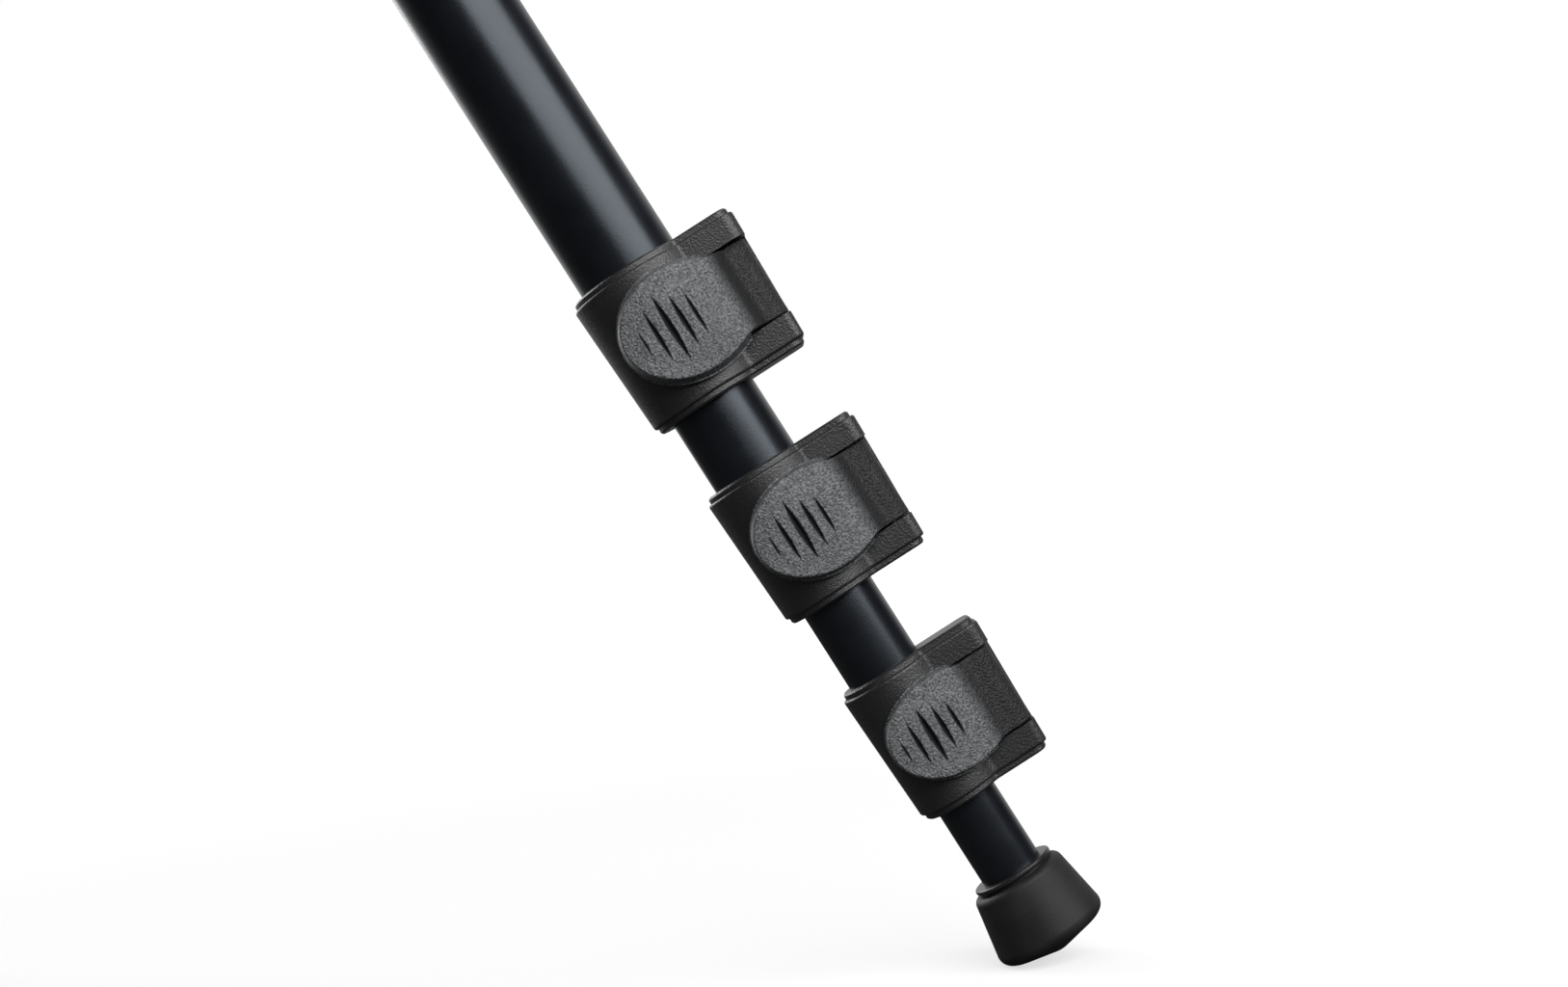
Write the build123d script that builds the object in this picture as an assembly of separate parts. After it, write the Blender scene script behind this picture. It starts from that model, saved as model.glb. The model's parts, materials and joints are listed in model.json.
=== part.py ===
from build123d import *
import math
import os

# Camera tripod: three telescopic legs of four sections, a flip lock between each two sections,
# a shoulder that carries the leg hinges, and a centre column with a screw stud for a head.
# Frame: origin on the floor under the column, +Z up, leg 1 towards +X.
# Millimetres and degrees. Leg pieces are drawn with the leg hanging straight down from its
# hinge: the hinge is the origin, +X points away from the column, -Y is the side with the
# finger pads. "Down" values count from the hinge along the leg.

# Whole tripod
LEG_LENGTH = 600.0  # hinge to the tip of the rubber foot, as the tripod stands
SPREAD = 25.0  # angle from the column to each leg at the first stop
HINGE_RADIUS = 36.0  # column axis to leg hinge
LEG_AZIMUTHS = (0.0, 120.0, 240.0)

# Clearances
BOND_GAP = 0.03  # radial, glued or pressed pieces
RUNNING_GAP = 0.05  # radial, tubes and bushes that slide, pins that turn
SIDE_GAP = 0.3  # beside pieces that move past each other
CLOSED_GAP = 0.5  # left between a lock and the next one when a leg is pushed in
OVERCUT = 1.0  # how far a cutter runs past the face it opens
TOUCH = 0.01  # places closer than this are the same

# Leg tubes, from the top section down
TUBE_DIAMETERS = (28.0, 24.0, 20.3, 16.6)
TUBE_WALL = 1.2
TUBE_SHOWING = (20.4, 22.3, 22.3)  # bare tube below each lock as the tripod stands
TUBE_STEP = 12.0  # between the tops of nested tubes when the leg is pushed in
GUIDE_LENGTH = 50.0  # guide sleeve round the top of each sliding tube

# Locks, from the top one down
LOCK_HEIGHTS = (40.2, 39.2, 39.2)
COLLAR_TOP_RADII = (17.8, 15.6, 13.4)
LUG_REACHES = (30.4, 28.7, 26.9)  # tube axis to the end of the lug, at the top of the lock
LUG_HALF_DEPTHS = (11.2, 9.8, 8.4)
LOCK_DRAFT = 1.87  # all sides draw in towards the foot
LUG_CORNER = 3.5
CREASE_RADIUS = 1.5  # where collar and lug meet
RIM_HEIGHT = 1.7
RIM_INSET = 0.9
RIM_BEVEL = 0.5
BODY_EDGE = 0.7  # rounding of the body's top and bottom edges
SOCKET_FLOOR = 1.0  # left between the end of the upper tube and the brake shoe

# Hinge of the lever, measured in the lock's cross-section
BARREL_RADIUS = 5.3
BARREL_HEIGHT = 21.3
BARREL_INSET = 0.5  # from the end of the lug
BARREL_FORWARD = 3.0  # hinge axis towards the pad side
EAR_GAP = 0.9
LEVER_RAISE = 0.2  # the lever sits a touch above the middle
PIN_RADIUS = 1.5
PIN_SEAT = 3.5  # into the upper ear
POCKET_GAP = 0.5
SHOE_HEIGHT = 10.0
SHOE_HALF_WIDTH = 3.0
SHOE_GAP = 0.1

# Finger pads, from the top lock down
PAD_HALF_HEIGHTS = (14.15, 13.4, 12.6)
PAD_TIPS = (-11.9, -11.0, -9.9)
PAD_WIDEST = (5.5, 6.6, 7.2)
PAD_WALL = 3.3  # over the front of the collar
CREST_PLACE = 3.0  # where the pad stands highest, outward of the tube axis
PAD_FACE_RADIUS = 33.0
PAD_LIFT = 0.45  # gap between lever and collar
PAD_DRAFTS = (13.5, 9.5, 6.0)  # slope of the wall round the nose of the pad
PAD_OVERHANG = 2.2  # the pad's foot reaches this far past its tip
PAD_EDGE = 0.4  # rounding of the edge round the pad's face
LIP_WIDTH = 0.35  # small lip round the foot of the pad
LIP_HEIGHT = 0.5
SHOULDER_BEND = 24.0  # convex bend from the pad into the neck
WAIST_BEND = 10.0  # concave bend after it
PAD_END = 7.9  # pad face ends this far inward of the hinge's outer side
NECK_START_ANGLE = 62.0
NECK_HOLLOW = 1.1
NECK_ROUND = 2.2
NECK_STEP = 0.1  # the neck is this much lower than the barrel at each end

# Grip grooves in the pads: place along the pad, half length, width
GROOVES = (
    (-6.4, 4.1, 0.8),
    (-2.6, 7.6, 1.4),
    (1.3, 9.7, 1.9),
    (5.0, 7.8, 1.5),
    (8.6, 6.5, 1.2),
)
GROOVE_SCALES = (1.0, 0.92, 0.84)
GROOVE_DEPTH_SHARE = 0.5  # depth over width

# Foot
FLANGE_RADIUS = 11.1
FLANGE_THICKNESS = 1.3
FLANGE_GROOVE = 0.7
FLANGE_EDGE = 0.5
PLUG_LENGTH = 26.0
PLUG_LEAD = 2.0  # tapered start of the shank
PLUG_LEAD_INSET = 1.0
PLUG_STUD_RADIUS = 6.0
PLUG_STUD_LENGTH = 12.0
PLUG_NECK_RADIUS = 10.0
FOOT_TOP_RADIUS = 12.6
FOOT_RADIUS = 15.7  # before its lower corner is rounded
FOOT_SHOULDER = 2.0
FOOT_CORNER = 3.0
FOOT_HEIGHT = 22.5
FOOT_UNDERSIDE_ANGLE = 16.6
FOOT_TIP_RADIUS = 8.0

# Top casting of a leg
KNUCKLE_RADIUS = 11.0
KNUCKLE_WIDTH = 19.4
KNUCKLE_EDGE = 1.2
SLEEVE_TOP = 14.0
SLEEVE_FLOOR = 4.0
SLEEVE_LENGTH = 34.0
SLEEVE_WALL = 2.6
SLEEVE_ROUND = 5.0
SLEEVE_EDGE = 0.8
BOLT_RADIUS = 4.0
HEEL_TOP = 17.0
HEEL_INNER = -4.0
HEEL_OUTER = 9.0
HEEL_ROUND = 3.0

# Angle latch
LATCH_WIDTH = 10.0
LATCH_HEIGHT = 5.0
LATCH_LEVEL = 11.5  # above the hinge
LATCH_TRAVEL = 6.0
LATCH_TAB_WIDTH = 15.0
LATCH_TAB_HEIGHT = 10.0
LATCH_TAB_THICKNESS = 3.0
LATCH_TAB_DROP = 1.0  # below the bar
LATCH_TAB_BEVEL = 2.0
LATCH_GRIP_COUNT = 3
LATCH_GRIP_RADIUS = 0.5

# Shoulder
HUB_RADIUS = 24.0
HUB_BOTTOM = -12.0
HUB_TOP = 3.0
NECK_RADIUS = 19.8
NECK_TOP = 44.0
NECK_BEVEL = 1.0
EAR_RADIUS = 12.0
EAR_THICKNESS = 6.0
EAR_EDGE = 1.5
BOLT_HEAD_RADIUS = 7.0
BOLT_HEAD_HEIGHT = 3.2
BOLT_SOCKET_RADIUS = 2.9
BOLT_SOCKET_DEPTH = 2.2
BOLT_HEAD_EDGE = 0.6
BUSH_WALL = 1.5

# Centre column
COLUMN_DIAMETER = 28.0
COLUMN_WALL = 1.5
COLUMN_LENGTH = 290.0
COLUMN_TRAVEL = 200.0
PLATFORM_RADIUS = 27.0
PLATFORM_THICKNESS = 7.0
PLATFORM_PLUG = 20.0
PLATFORM_BEVEL = 1.0
FLUTE_COUNT = 24
FLUTE_RADIUS = 1.4
FLUTE_OUT = 0.6  # centre of a flute past the platform's edge
STUD_RADIUS = 4.7625
STUD_HEIGHT = 12.0
STUD_SEAT = 6.0
STUD_SEAT_RADIUS = 4.0
STUD_BEVEL = 0.8
STUD_RELIEF_RADIUS = 5.8  # shallow well in the platform round the stud
STUD_RELIEF_DEPTH = 0.8
END_CAP_THICKNESS = 8.0
END_CAP_PLUG = 12.0
END_CAP_BEVEL = 2.0
RING_BOSS_HEIGHT = 7.0
RING_BOSS_WIDTH = 9.0
RING_BOSS_ROUND = 3.0
RING_WIRE_RADIUS = 1.3
RING_HALF_WIDTH = 9.0
RING_DROP = 13.0
RING_BEND = 3.5

# Column knob
KNOB_AZIMUTH = 60.0
KNOB_LEVEL = 31.0
KNOB_RADIUS = 11.0
KNOB_LENGTH = 15.0
KNOB_LOBES = 6
KNOB_LOBE_RADIUS = 3.0
KNOB_LOBE_OUT = 1.0  # centre of a hollow past the knob's edge
KNOB_BASE = 2.0  # plain band below the hollows
KNOB_BEVEL = 1.5
KNOB_SCREW_RADIUS = 4.0
KNOB_STANDOFF = 3.0

# Derived places down the leg
TUBE_RADII = [diameter / 2 for diameter in TUBE_DIAMETERS]
FOOT_TOP = LEG_LENGTH - FOOT_HEIGHT
FLANGE_TOP = FOOT_TOP - FLANGE_GROOVE - FLANGE_THICKNESS
LOCK_TOPS = [
    FLANGE_TOP - sum(LOCK_HEIGHTS[lock:]) - sum(TUBE_SHOWING[lock:]) for lock in range(3)
]
LOCK_MIDDLES = [LOCK_TOPS[lock] + LOCK_HEIGHTS[lock] / 2 for lock in range(3)]
SOCKET_DEPTHS = [
    LOCK_HEIGHTS[lock] / 2 - SHOE_HEIGHT / 2 - SHOE_GAP - SOCKET_FLOOR for lock in range(3)
]
TUBE_BOTTOMS = [LOCK_TOPS[lock] + SOCKET_DEPTHS[lock] for lock in range(3)] + [FLANGE_TOP]
TUBE_TOPS = [SLEEVE_TOP + SLEEVE_FLOOR]
for showing in TUBE_SHOWING:
    TUBE_TOPS.append(TUBE_TOPS[-1] + TUBE_STEP + showing - CLOSED_GAP)
SLIDE_IN = [showing - CLOSED_GAP for showing in TUBE_SHOWING]
SLIDE_OUT = [
    TUBE_BOTTOMS[upper] - TUBE_TOPS[upper + 1] - GUIDE_LENGTH - CLOSED_GAP for upper in range(3)
]

# Derived sizes of the locks
BODY_HEIGHTS = [height - 2 * RIM_HEIGHT for height in LOCK_HEIGHTS]
DRAFT_SLOPE = math.tan(math.radians(LOCK_DRAFT))
DRAWN_IN = [height * DRAFT_SLOPE for height in BODY_HEIGHTS]
HINGE_OUT = [
    LUG_REACHES[lock] - DRAWN_IN[lock] / 2 - BARREL_INSET - BARREL_RADIUS for lock in range(3)
]
POCKET_INNER = [hinge - BARREL_RADIUS - POCKET_GAP for hinge in HINGE_OUT]
PAD_CRESTS = [radius + PAD_LIFT + PAD_WALL for radius in COLLAR_TOP_RADII]

# Derived shape of the rubber foot: its side and its underside are two straight slopes
UNDER_SLOPE = math.tan(math.radians(FOOT_UNDERSIDE_ANGLE))
FOOT_APEX = LEG_LENGTH + FOOT_TIP_RADIUS * (math.hypot(1, UNDER_SLOPE) - 1)
FOOT_EDGE = FOOT_APEX - FOOT_RADIUS * UNDER_SLOPE
SIDE_SLOPE = (FOOT_RADIUS - FOOT_TOP_RADIUS) / (FOOT_EDGE - FOOT_TOP)

# Derived height of the leg hinges: the foot's rounded inner corner stands on the floor
TILT = math.radians(SPREAD)
UNDER_INSET = FOOT_CORNER * math.hypot(1, UNDER_SLOPE)
SIDE_INSET = FOOT_CORNER * math.hypot(1, SIDE_SLOPE)
CORNER_OUT = (
    FOOT_TOP_RADIUS + (FOOT_APEX - UNDER_INSET - FOOT_TOP) * SIDE_SLOPE - SIDE_INSET
) / (1 + UNDER_SLOPE * SIDE_SLOPE)
CORNER_DOWN = FOOT_APEX - CORNER_OUT * UNDER_SLOPE - UNDER_INSET
HINGE_HEIGHT = CORNER_DOWN * math.cos(TILT) + CORNER_OUT * math.sin(TILT) + FOOT_CORNER

# Derived places on the column, above the leg hinges
COLUMN_RADIUS = COLUMN_DIAMETER / 2
COLUMN_TOP = NECK_TOP + CLOSED_GAP
COLUMN_BOTTOM = COLUMN_TOP - COLUMN_LENGTH
RING_LEVEL = COLUMN_BOTTOM - END_CAP_THICKNESS - RING_BOSS_HEIGHT / 2
KNUCKLE_GAP = KNUCKLE_WIDTH + 2 * SIDE_GAP


def leg_place(azimuth):
    """Location that puts a hanging leg piece into the standing tripod."""
    return Pos(0, 0, HINGE_HEIGHT) * Rot(0, 0, azimuth) * Pos(HINGE_RADIUS, 0, 0) * Rot(0, -SPREAD, 0)


def box_between(x_range, y_range, z_range):
    """Box from its lowest and highest values along each axis."""
    size = [high - low for low, high in (x_range, y_range, z_range)]
    middle = [(high + low) / 2 for low, high in (x_range, y_range, z_range)]
    return Pos(*middle) * Box(*size)


def rod(radius, low, high):
    """Round bar along Z from low to high."""
    return Pos(0, 0, low) * Cylinder(radius, high - low, align=(Align.CENTER, Align.CENTER, Align.MIN))


def cross_rod(radius, half_length):
    """Round bar along Y, centred on the origin."""
    return Rot(90, 0, 0) * Cylinder(radius, 2 * half_length)


def turned(points):
    """Solid of revolution about Z from (radius, height) points."""
    return revolve(Plane.XZ * make_face(Polyline(*points, close=True)), Axis.Z)


def leg_tube(section):
    """Aluminium tube of one leg section; the sliding ones carry a bonded guide sleeve on top."""
    radius = TUBE_RADII[section]
    top = -TUBE_TOPS[section]
    bottom = -TUBE_BOTTOMS[section]
    tube = rod(radius, bottom, top)
    if section > 0:
        guide_radius = TUBE_RADII[section - 1] - TUBE_WALL - RUNNING_GAP
        tube += rod(guide_radius, top - GUIDE_LENGTH, top)
    return tube - rod(radius - TUBE_WALL, bottom, top)


def lock_outline(radius, reach, half_depth):
    """Cross-section of a lock: round collar with a lug on the +X side."""
    lug = Pos(reach / 2, 0) * Rectangle(reach, 2 * half_depth)
    lug = fillet(lug.vertices().group_by(Axis.X)[-1], LUG_CORNER)
    outline = Circle(radius) + lug
    creases = [
        vertex
        for vertex in outline.vertices()
        if 0 < vertex.X < radius and abs(abs(vertex.Y) - half_depth) < TOUCH
    ]
    return fillet(creases, CREASE_RADIUS)


def lock_housing(lock):
    """Moulded housing: collar round both tubes, and a lug with two ears for the lever."""
    radius = COLLAR_TOP_RADII[lock]
    reach = LUG_REACHES[lock]
    half_depth = LUG_HALF_DEPTHS[lock]
    body_height = BODY_HEIGHTS[lock]
    top = LOCK_HEIGHTS[lock] / 2
    body_top = top - RIM_HEIGHT
    drawn = DRAWN_IN[lock]
    down = Plane.XY.offset(body_top).rotated((180, 0, 0))
    body = extrude(down * lock_outline(radius, reach, half_depth), body_height, taper=LOCK_DRAFT)
    ends = body.faces().sort_by(Axis.Z)
    body = fillet(ends[0].outer_wire().edges() + ends[-1].outer_wire().edges(), BODY_EDGE)
    for level, shrink, rise in ((body_top, 0, RIM_HEIGHT), (-body_top, drawn, -RIM_HEIGHT)):
        inset = RIM_INSET + shrink
        rim = extrude(lock_outline(radius - inset, reach - inset, half_depth - inset), rise)
        rim = chamfer(rim.faces().sort_by(Axis.Z)[-1 if rise > 0 else 0].outer_wire().edges(), RIM_BEVEL)
        body += Pos(0, 0, level) * rim
    body -= rod(TUBE_RADII[lock] + BOND_GAP, top - SOCKET_DEPTHS[lock], top)
    body -= rod(TUBE_RADII[lock + 1] + RUNNING_GAP, -top, top)
    pocket_half = BARREL_HEIGHT / 2 + EAR_GAP
    body -= box_between(
        (POCKET_INNER[lock], reach + OVERCUT),
        (-half_depth - OVERCUT, POCKET_GAP + BARREL_RADIUS - BARREL_FORWARD),
        (LEVER_RAISE - pocket_half, LEVER_RAISE + pocket_half),
    )
    hinge = Pos(HINGE_OUT[lock], -BARREL_FORWARD, 0)
    body -= hinge * rod(PIN_RADIUS + BOND_GAP, -top, pin_top(lock) + BOND_GAP)
    shoe_half = SHOE_HALF_WIDTH + SHOE_GAP
    body -= box_between(
        (0, POCKET_INNER[lock] + OVERCUT),
        (-BARREL_FORWARD - shoe_half, -BARREL_FORWARD + shoe_half),
        (-SHOE_HEIGHT / 2 - SHOE_GAP, SHOE_HEIGHT / 2 + SHOE_GAP),
    )
    return body


def pin_top(lock):
    """Height of the hinge pin's upper end above the middle of the lock."""
    return LEVER_RAISE + BARREL_HEIGHT / 2 + EAR_GAP + PIN_SEAT


def lock_pin_and_shoe(lock):
    """Steel hinge pin, and the brake shoe that the lever's cam presses on the sliding tube."""
    low = -LOCK_HEIGHTS[lock] / 2 + RIM_HEIGHT
    pin = Pos(HINGE_OUT[lock], -BARREL_FORWARD, 0) * rod(PIN_RADIUS, low, pin_top(lock))
    shoe = box_between(
        (0, HINGE_OUT[lock] - BARREL_RADIUS - SIDE_GAP),
        (-BARREL_FORWARD - SHOE_HALF_WIDTH, -BARREL_FORWARD + SHOE_HALF_WIDTH),
        (-SHOE_HEIGHT / 2, SHOE_HEIGHT / 2),
    )
    shoe -= rod(TUBE_RADII[lock + 1] + RUNNING_GAP, -SHOE_HEIGHT, SHOE_HEIGHT)
    return Compound(children=[pin, shoe.solid()])


def pad_face_centre(lock):
    """Centre of the pad's curved front face in the cross-section."""
    return Vector(CREST_PLACE, PAD_FACE_RADIUS - PAD_CRESTS[lock])


def pad_face_level(lock, place):
    """Level of the pad's front face in the cross-section at a place along the pad."""
    centre = pad_face_centre(lock)
    return centre.Y - math.sqrt(PAD_FACE_RADIUS**2 - (place - centre.X) ** 2)


def pad_end(lock):
    """Place where the pad's face ends and the neck begins."""
    return HINGE_OUT[lock] + BARREL_RADIUS - PAD_END - BARREL_INSET


def lever_profile(lock):
    """Cross-section of the lever: barrel, hollow neck and curved pad."""
    hinge = Vector(HINGE_OUT[lock], -BARREL_FORWARD)
    shoulder = Vector(pad_end(lock), pad_face_level(lock, pad_end(lock)))
    start_angle = math.radians(NECK_START_ANGLE)
    neck_foot = hinge + Vector(math.cos(start_angle), -math.sin(start_angle)) * BARREL_RADIUS
    chord = neck_foot - shoulder
    inward = Vector(-chord.Y, chord.X).normalized()
    hollow = (shoulder + neck_foot) * 0.5 + inward * NECK_HOLLOW * math.copysign(1, inward.Y)
    far_left = PAD_TIPS[lock] - PAD_OVERHANG
    left = Vector(far_left, pad_face_level(lock, far_left))
    floor = -LUG_HALF_DEPTHS[lock] / 2
    arm_side = hinge.X - BARREL_RADIUS
    edges = [
        ThreePointArc(left, (CREST_PLACE, -PAD_CRESTS[lock]), shoulder),
        ThreePointArc(shoulder, hollow, neck_foot),
        Line(neck_foot, hinge),
        Line(hinge, (arm_side, hinge.Y)),
        Line((arm_side, hinge.Y), (arm_side, floor)),
        Line((arm_side, floor), (far_left, floor)),
        Line((far_left, floor), left),
    ]
    face = make_face(edges)
    corner = face.vertices().sort_by_distance(Vector(shoulder.X, shoulder.Y, 0))[0]
    return fillet(corner, NECK_ROUND)


def pad_outline(lock, growth):
    """Front view of pad and neck: half an ellipse, two bends and a neck that keeps its height."""
    half = PAD_HALF_HEIGHTS[lock] + growth
    neck_half = BARREL_HEIGHT / 2 - NECK_STEP
    tip_drop = PAD_CRESTS[lock] + pad_face_level(lock, PAD_TIPS[lock])
    tip = PAD_TIPS[lock] + tip_drop * math.tan(math.radians(PAD_DRAFTS[lock])) - growth
    widest = PAD_WIDEST[lock]
    turn = math.degrees(math.acos(1 - (half - neck_half) / (SHOULDER_BEND + WAIST_BEND)))
    nose = EllipticalCenterArc((widest, 0), widest - tip, half, start_angle=90, arc_size=180)
    bend = JernArc((widest, half), (1, 0), SHOULDER_BEND, -turn)
    waist = JernArc(bend @ 1, bend % 1, WAIST_BEND, turn)
    end = waist @ 1
    neck_end = 2 * LUG_REACHES[lock]
    neck = Polyline(end, (neck_end, end.Y), (neck_end, -end.Y), (end.X, -end.Y))
    lower_bend = JernArc((widest, -half), (1, 0), SHOULDER_BEND, turn)
    lower_waist = JernArc(lower_bend @ 1, lower_bend % 1, WAIST_BEND, -turn)
    return make_face([nose, bend, waist, neck, lower_waist, lower_bend])


def drafted_pad(lock, extra):
    """Pad and neck drawn back from the crest with draft, before their back is cut to the lock."""
    crest = PAD_CRESTS[lock]
    growth = crest * math.tan(math.radians(PAD_DRAFTS[lock]))
    front = Plane.XZ.offset(crest) * pad_outline(lock, extra)
    back = Plane.XZ * pad_outline(lock, extra + growth)
    return loft([back, front], ruled=True) & extrude(lever_profile(lock), 2 * crest, both=True)


def lever_seat(lock, rise):
    """Space of collar and lug that the back of the lever follows, grown by a rise."""
    crest = PAD_CRESTS[lock]
    radius = COLLAR_TOP_RADII[lock] + PAD_LIFT + rise
    collar = Pos(0, 0, -LEVER_RAISE) * Cone(radius - DRAWN_IN[lock], radius, BODY_HEIGHTS[lock])
    front = -LUG_HALF_DEPTHS[lock] - PAD_LIFT - rise
    arm_side = HINGE_OUT[lock] - BARREL_RADIUS
    arm_half = BARREL_HEIGHT / 2 + EAR_GAP / 2
    seat = collar + box_between((0, 2 * crest), (front, crest), (-crest, crest))
    return seat - box_between((arm_side, 3 * crest), (-2 * crest, 2 * crest), (-arm_half, arm_half))


def lock_lever(lock):
    """Flip lever in its closed place, in the lock's frame."""
    hinge = Pos(HINGE_OUT[lock], -BARREL_FORWARD, 0)
    crest = PAD_CRESTS[lock]
    pad = drafted_pad(lock, 0)
    pad = fillet(pad.faces().filter_by(GeomType.CYLINDER).sort_by(SortBy.AREA)[-1].edges(), PAD_EDGE)
    lip = drafted_pad(lock, LIP_WIDTH) & lever_seat(lock, LIP_HEIGHT)
    lever = (pad + lip) - lever_seat(lock, 0)
    slope = BARREL_HEIGHT / 2 * DRAFT_SLOPE
    barrel = Cone(BARREL_RADIUS - slope, BARREL_RADIUS + slope, BARREL_HEIGHT)
    lever += hinge * barrel
    lever -= hinge * rod(PIN_RADIUS + RUNNING_GAP, -crest, crest)
    for place, half_length, width in GROOVES:
        lever -= grip_groove(lock, place, half_length, width)
    return Pos(0, 0, LEVER_RAISE) * lever


def grip_groove(lock, place, half_length, width):
    """Cutter of one spindle-shaped groove: the rim of a wheel with a V edge."""
    scale = GROOVE_SCALES[lock]
    depth = width * GROOVE_DEPTH_SHARE
    wheel = (half_length * scale) ** 2 / (2 * depth)
    flank = Pos(0, 0, width / 2) * Cone(wheel, wheel - 2 * depth, width)
    both = flank + mirror(flank, about=Plane.XY)
    middle = pad_face_level(lock, place) - wheel + depth
    return Pos(place, middle, 0) * Rot(0, 90, 0) * both


def foot_plug():
    """Turned plastic plug: shank in the last tube, flange, and a stud inside the rubber."""
    bore = TUBE_RADII[3] - TUBE_WALL - BOND_GAP
    plug = turned(
        [
            (0, -FLANGE_TOP + PLUG_LENGTH),
            (bore - PLUG_LEAD_INSET, -FLANGE_TOP + PLUG_LENGTH),
            (bore, -FLANGE_TOP + PLUG_LENGTH - PLUG_LEAD),
            (bore, -FLANGE_TOP),
            (FLANGE_RADIUS, -FLANGE_TOP),
            (FLANGE_RADIUS, -FLANGE_TOP - FLANGE_THICKNESS),
            (PLUG_NECK_RADIUS, -FLANGE_TOP - FLANGE_THICKNESS),
            (PLUG_NECK_RADIUS, -FOOT_TOP),
            (PLUG_STUD_RADIUS, -FOOT_TOP),
            (PLUG_STUD_RADIUS, -FOOT_TOP - PLUG_STUD_LENGTH),
            (0, -FOOT_TOP - PLUG_STUD_LENGTH),
        ]
    )
    rim = [edge for edge in plug.edges().filter_by(GeomType.CIRCLE) if edge.radius > FLANGE_RADIUS - BOND_GAP]
    return fillet(rim, FLANGE_EDGE)


def rubber_foot():
    """Flared rubber foot with a shallow cone underneath that ends in a rounded tip."""
    side = (FOOT_RADIUS, -FOOT_EDGE)
    under_angle = math.radians(FOOT_UNDERSIDE_ANGLE)
    tip_out = FOOT_TIP_RADIUS * math.sin(under_angle)
    tip_start = (tip_out, -FOOT_APEX + tip_out * UNDER_SLOPE)
    outline = make_face(
        [
            Polyline((0, -LEG_LENGTH), (0, -FOOT_TOP), (FOOT_TOP_RADIUS, -FOOT_TOP), side, tip_start),
            TangentArc(tip_start, (0, -LEG_LENGTH), tangent=(-1, -UNDER_SLOPE)),
        ]
    )
    shoulder_corner = outline.vertices().sort_by_distance((FOOT_TOP_RADIUS, -FOOT_TOP, 0))[0]
    outline = fillet(shoulder_corner, FOOT_SHOULDER)
    outline = fillet(outline.vertices().sort_by(Axis.X)[-1], FOOT_CORNER)
    foot = revolve(Plane.XZ * outline, Axis.Z)
    return foot - rod(PLUG_STUD_RADIUS + BOND_GAP, -FOOT_TOP - PLUG_STUD_LENGTH - BOND_GAP, 0)


def top_casting():
    """Leg's top casting: knuckle on the hinge bolt, sleeve for the tube, heel for the latch."""
    radius = TUBE_RADII[0]
    sleeve_radius = radius + SLEEVE_WALL
    sleeve = rod(sleeve_radius, -SLEEVE_TOP - SLEEVE_LENGTH, -SLEEVE_TOP)
    sleeve = fillet(sleeve.edges().group_by(Axis.Z)[-1], SLEEVE_ROUND)
    sleeve = fillet(sleeve.edges().group_by(Axis.Z)[0], SLEEVE_EDGE)
    half = KNUCKLE_WIDTH / 2
    root = -SLEEVE_TOP - SLEEVE_ROUND
    heel = box_between((HEEL_INNER, HEEL_OUTER), (-half, half), (0, HEEL_TOP))
    heel = fillet(heel.edges().filter_by(Axis.Y).group_by(Axis.Z)[-1], HEEL_ROUND)
    tongue = box_between((-KNUCKLE_RADIUS, KNUCKLE_RADIUS), (-half, half), (root, 0))
    tongue += cross_rod(KNUCKLE_RADIUS, half) + heel
    sides = tongue.faces().filter_by(Axis.Y).sort_by(Axis.Y)
    outline = sides[0].edges() + sides[-1].edges()
    tongue = fillet([edge for edge in outline if edge.center().Z > root], KNUCKLE_EDGE)
    casting = sleeve + tongue
    casting -= rod(radius + BOND_GAP, -SLEEVE_TOP - SLEEVE_LENGTH, -SLEEVE_TOP - SLEEVE_FLOOR)
    casting -= cross_rod(BOLT_RADIUS + RUNNING_GAP, half)
    channel = LATCH_WIDTH / 2 + RUNNING_GAP
    casting -= box_between(
        (-KNUCKLE_RADIUS - OVERCUT, HEEL_OUTER + OVERCUT),
        (-channel, channel),
        (LATCH_LEVEL - LATCH_HEIGHT / 2 - RUNNING_GAP, LATCH_LEVEL + LATCH_HEIGHT / 2 + RUNNING_GAP),
    )
    return casting


def angle_latch():
    """Sprung slide whose nose meets the shoulder at the first leg angle; it has a pull tab."""
    stop_out = (NECK_RADIUS + SIDE_GAP - HINGE_RADIUS + LATCH_LEVEL * math.sin(TILT)) / math.cos(TILT)
    nose = stop_out + (LATCH_HEIGHT / 2) * math.tan(TILT)
    half = LATCH_WIDTH / 2
    low = LATCH_LEVEL - LATCH_HEIGHT / 2
    high = LATCH_LEVEL + LATCH_HEIGHT / 2
    tab_inner = HEEL_OUTER + SIDE_GAP
    bar = box_between((nose, tab_inner + OVERCUT), (-half, half), (low, high))
    tab_outer = tab_inner + LATCH_TAB_THICKNESS
    tab_low = low - LATCH_TAB_DROP
    tab = box_between(
        (tab_inner, tab_outer),
        (-LATCH_TAB_WIDTH / 2, LATCH_TAB_WIDTH / 2),
        (tab_low, tab_low + LATCH_TAB_HEIGHT),
    )
    tab = chamfer(tab.edges().filter_by(Axis.X), LATCH_TAB_BEVEL)
    for index in range(LATCH_GRIP_COUNT):
        level = tab_low + LATCH_TAB_HEIGHT * (index + 1) / (LATCH_GRIP_COUNT + 1)
        tab -= Pos(tab_outer, 0, level) * cross_rod(LATCH_GRIP_RADIUS, LATCH_TAB_WIDTH / 2)
    return bar + tab


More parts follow.
